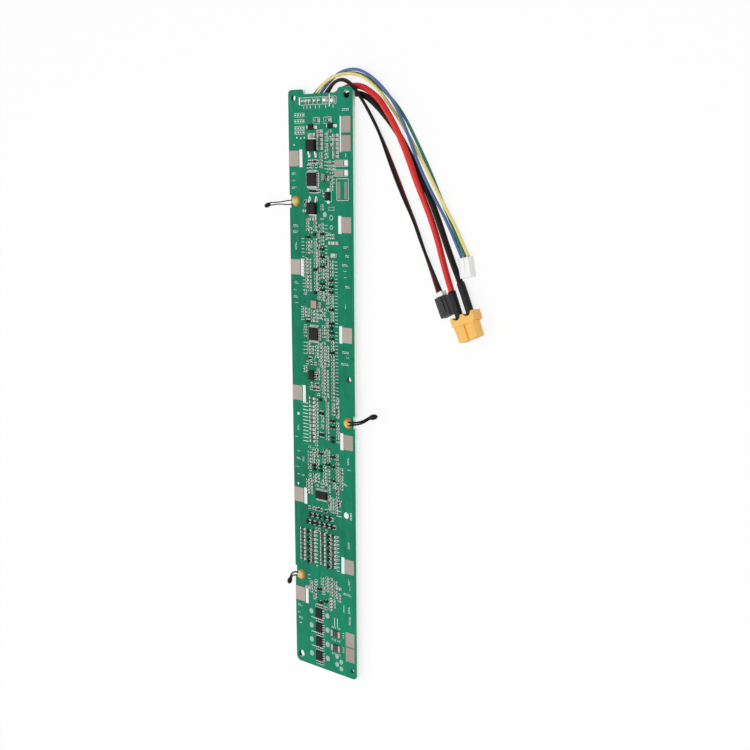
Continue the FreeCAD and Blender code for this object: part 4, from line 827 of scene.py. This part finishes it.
power_red_route = [
    (5.0, 144.6, -1.6), (10.8, 148.5, -1.6), (18.5, 150.5, -1.6), (25.5, 149.9, -1.6),
    (31.7, 146.6, -1.3), (37.9, 142.9, -0.1), (44.9, 135.7, 1.4), (49.7, 128.7, 1.5),
    (53.6, 121.8, 1.5), (57.1, 114.9, 1.5), (61.1, 105.7, 1.4), (64.5, 96.6, -0.3),
    (68.0, 87.5, -1.6), (72.1, 77.5, -1.6), (75.5, 67.5, -1.3), (81.2, 55.2, -0.1),
    (85.86, 44.11, 0.0)]
power_black_route = [
    (9.95, 143.9, -1.6), (15.6, 146.0, -1.6), (21.6, 146.9, -1.6), (27.8, 145.3, -1.6),
    (34.0, 141.0, -1.6), (40.0, 135.7, -1.6), (47.7, 127.7, -1.6), (55.8, 116.3, -1.6),
    (68.2, 96.6, -1.6), (79.6, 70.4, -1.5), (87.2, 57.8, -0.1), (91.94, 46.69, 0.0)]
charge_red_route = [
    (-2.6, 144.6, -2.35), (1.7, 149.7, -2.35), (8.2, 153.3, -1.2), (15.0, 153.8, 0.4),
    (20.6, 151.5, 1.15), (24.4, 147.3, 1.1), (27.5, 142.6, 0.1), (30.6, 135.8, -1.9),
    (37.6, 124.4, -2.35), (45.2, 110.3, -2.35), (52.1, 96.4, -2.35), (58.1, 84.9, -2.35),
    (63.0, 73.4, -2.35), (67.7, 63.3, -2.2), (72.66, 53.95, -0.8)]
charge_black_route = [
    (0.1, 144.7, -2.35), (4.3, 150.0, -1.3), (10.7, 153.0, 1.15), (16.4, 153.2, 2.3),
    (21.6, 150.9, 2.75), (25.6, 147.0, 2.4), (28.9, 142.0, 1.2), (32.3, 135.7, -0.3),
    (37.2, 127.2, -0.8), (43.7, 112.7, -0.8), (50.8, 98.7, -0.8), (57.9, 87.2, -0.8),
    (62.7, 76.2, -0.8), (69.6, 63.5, -0.8), (74.49, 54.77, -0.8)]
data_yellow_route = [
    (-8.28, 144.62, -2.35), (-3.6, 149.3, -0.85), (3.2, 153.0, 0.3), (10.5, 155.6, 0.85),
    (18.2, 156.3, 0.6), (25.1, 155.0, -0.3), (31.2, 151.8, -0.6), (36.9, 146.9, -1.3),
    (42.8, 139.8, -2.35), (51.1, 129.7, -2.35), (58.6, 119.9, -1.7), (65.4, 111.2, -0.7),
    (71.5, 101.2, -0.7), (77.6, 92.2, -0.7), (82.4, 85.1, -1.2), (85.9, 77.5, -1.8),
    (90.06, 71.75, -1.1)]
data_green_route = [
    (-10.7, 144.5, -2.35), (-5.7, 149.2, -2.35), (0.7, 153.4, -2.35), (7.4, 156.0, -2.35),
    (14.8, 156.7, -2.35), (22.6, 156.2, -2.35), (31.5, 152.1, -2.35), (43.4, 143.5, -2.35),
    (51.4, 134.9, -2.35), (59.6, 121.7, -2.35), (66.8, 109.6, -2.35), (73.3, 96.7, -2.35),
    (78.9, 86.5, -2.35), (83.4, 78.5, -2.0), (88.10, 71.36, -1.1)]
data_blue_route = [
    (-6.1, 144.5, -2.35), (-1.2, 149.8, -2.35), (4.5, 153.4, -1.4), (10.4, 156.6, -0.65),
    (16.7, 158.1, -0.6), (23.6, 157.9, -0.6), (31.1, 154.7, -0.7), (39.0, 148.9, -0.7),
    (45.8, 141.8, -0.7), (52.6, 131.2, -0.6), (58.5, 119.4, 0.1), (64.5, 108.0, 0.3),
    (71.3, 96.9, -0.3), (76.7, 87.7, -1.5), (81.3, 78.7, -2.0), (86.14, 70.97, -1.1)]

power_red = wire("power_wire_red", power_red_route, 3.0, red)
power_black = wire("power_wire_black", power_black_route, 3.0, black)
charge_red = wire("charge_wire_red", charge_red_route, 1.5, shaded_red)
charge_black = wire("charge_wire_black", charge_black_route, 1.5, black)
data_yellow = wire("data_wire_yellow", data_yellow_route, 1.5, yellow)
data_green = wire("data_wire_green", data_green_route, 1.5, greenish)
data_blue = wire("data_wire_blue", data_blue_route, 1.5, blue)


# Shrink sleeves: short lengths of heat-shrunk tube over the two thick wires, drawn down
# over the crimped ends as far as the power plug's back.

shrunk = Finish("shrunk_sleeve", (0.012, 0.012, 0.014), 0.45, 0.0, [("Specular IOR Level", 0.25)])
crease = shrunk.noise(700.0, 3.0)
shrunk.feed(Roughness=0.38 + crease * 0.25)
shrunk.bump(crease, 0.5, 0.0002)
sleeve_red = softened("power_sleeve_red", shrunk, 0.2)
sleeve_black = softened("power_sleeve_black", shrunk, 0.2)

# the lower end of each sleeve goes on into the mouth of the plug
SLEEVE_REACH = 2.3 * MM
plug_spot = Matrix.Translation((88.9 * MM, 45.4 * MM, 0)) @ Matrix.Rotation(math.radians(23.0), 4, "Z")
for sleeve in (sleeve_red, sleeve_black):
    sleeve.data.transform(plug_spot.inverted())
    for vertex in sleeve.data.vertices:
        if vertex.co.y < 0.4 * MM:
            vertex.co.y -= SLEEVE_REACH
    sleeve.data.transform(plug_spot)


# Plugs: the amber power plug with its keyed side and two contacts, the small black charge
# plug with its white rear insert, and the white three-way data plug, all injection moulded.

amber = Finish("amber_nylon", (0.92, 0.53, 0.12), 0.33, 0.0,
               [("Subsurface Weight", 0.12), ("Subsurface Radius", (0.002, 0.001, 0.0005))])
flow = amber.noise(220.0, 2.0)
amber.feed(Base_color=amber.mix(flow, (0.88, 0.47, 0.085), (0.95, 0.56, 0.14)), Roughness=0.28 + flow * 0.15)
housing_black = Finish("black_nylon", (0.016, 0.016, 0.017), 0.42)
texture = housing_black.noise(4000.0, 2.0)
housing_black.feed(Roughness=0.36 + texture * 0.2)
housing_black.bump(texture, 0.3, 0.00003)
housing_white = Finish("white_nylon", (0.90, 0.90, 0.89), 0.4)
warm = housing_white.noise(300.0, 2.0)
housing_white.feed(Base_color=housing_white.mix(warm, (0.87, 0.87, 0.86), (0.93, 0.93, 0.93)))
gold = Finish("gold_flashed_brass", (0.83, 0.62, 0.28), 0.25, 1.0)
wear = gold.noise(2000.0, 2.0)
gold.feed(Roughness=0.18 + wear * 0.2)

# The power plug's nose and collar have rounded corners, and the nose narrows a little towards
# its open end. Two mouths open in its back for the sleeves.
NOSE_END = -12.2 * MM
COLLAR_END = -2.0 * MM
NOSE_TAPER = 0.965
SAME_PLACE = 0.01 * MM
power_plug = copy_of("power_plug_housing", "power_plug_shell")
power_plug.data.transform(plug_spot.inverted())
join_flat_faces()
bpy.ops.object.mode_set(mode="EDIT")
bpy.ops.mesh.select_all(action="DESELECT")
bpy.context.tool_settings.mesh_select_mode = (False, True, False)
bpy.ops.object.mode_set(mode="OBJECT")
for line in power_plug.data.edges:
    a, b = (power_plug.data.vertices[i].co for i in line.vertices)
    upright = abs(a.x - b.x) < SAME_PLACE and abs(a.y - b.y) < SAME_PLACE
    at_nose = a.y < NOSE_END + 0.1 * MM and abs(a.x) > 5.0 * MM
    at_collar = a.y < COLLAR_END and abs(a.x) > 6.7 * MM
    line.select = upright and (at_nose or at_collar)
bpy.ops.object.mode_set(mode="EDIT")
bpy.ops.mesh.bevel(offset=1.2 * MM, segments=5)
bpy.ops.object.mode_set(mode="OBJECT")
for vertex in power_plug.data.vertices:
    if vertex.co.y < NOSE_END + 2.0 * MM:
        vertex.co.x *= NOSE_TAPER
round_edges(power_plug, 0.3, 3)

MOUTHS = (-2.9, 3.45)
MOUTH_DEEP, MOUTH_HIGH = 0.2, 0.9
MOUTH_SIZE = Matrix.Diagonal((2.95 * MM, 2.5 * MM, 3.7 * MM, 1))
for side in MOUTHS:
    nothing_selected()
    bpy.ops.mesh.primitive_uv_sphere_add(segments=32, ring_count=16, radius=1)
    hollow = bpy.context.object
    centre = Matrix.Translation((side * MM, MOUTH_DEEP * MM, MOUTH_HIGH * MM))
    hollow.data.transform(centre @ MOUTH_SIZE)
    pick(power_plug)
    mouth = power_plug.modifiers.new("mouth", "BOOLEAN")
    mouth.operation = "DIFFERENCE"
    mouth.solver = "EXACT"
    mouth.object = hollow
    bpy.ops.object.modifier_apply(modifier="mouth")
    bpy.data.objects.remove(hollow)
bpy.ops.object.shade_smooth_by_angle(angle=math.radians(40))
power_plug.data.transform(plug_spot)
coat_with(power_plug, amber)
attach(power_plug, "root")
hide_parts("power_plug_housing")
nothing_selected()

power_pins = finish_node("power_plug_contacts", gold)
charge_plug = softened("charge_plug_housing", housing_black, 0.2, 2)
charge_insert = softened("charge_plug_insert", housing_white, 0.15, 2)
charge_pins = finish_node("charge_plug_contacts", gold)
data_plug = softened("data_plug_housing", housing_white, 0.12, 2)
data_pins = finish_node("data_plug_contacts", gold)


# Temperature sensors: dipped beads on thin varnished leads, bent out past the board's edge to
# lie between the cells, each held down by a dot of amber glue.

varnish = Finish("black_varnish", (0.006, 0.0055, 0.0055), 0.3, 0.0, [("Specular IOR Level", 0.18)])
drip = varnish.noise(1200.0, 2.0)
varnish.feed(Roughness=0.22 + drip * 0.25)
varnish.bump(drip, 0.3, 0.0001)
for name, coat in (("temperature_sensor_upper", 0.05), ("temperature_sensor_middle", 0.22),
                   ("temperature_sensor_lower", 0.18)):
    # the dipped varnish stands on the leads as a skin of even thickness, thicker on some sensors than on
    # others
    sensor = softened(name, varnish, 0.01, 1)
    pick(sensor)
    skin = sensor.modifiers.new("varnish", "DISPLACE")
    skin.strength = coat * MM
    skin.mid_level = 0.0
    bpy.ops.object.modifier_apply(modifier="varnish")
    nothing_selected()
glue = Finish("amber_glue", (0.60, 0.44, 0.13), 0.16, 0.0,
              [("Subsurface Weight", 0.25), ("Subsurface Radius", (0.002, 0.001, 0.0004))])
lump = glue.noise(420.0, 2.0)

# darker low down by the board, with a browner cloud in it
height = glue.step(glue.along(2), 1.7, 3.3)
deep = glue.mix(height, (0.34, 0.21, 0.03), (0.72, 0.54, 0.15))
glue.feed(Base_color=glue.mix(glue.step(lump, 0.48, 0.6) * 0.7, deep, (0.62, 0.25, 0.02)))
glue.bump(lump, 0.9, 0.0005)
finish_node("glue_dots", glue)
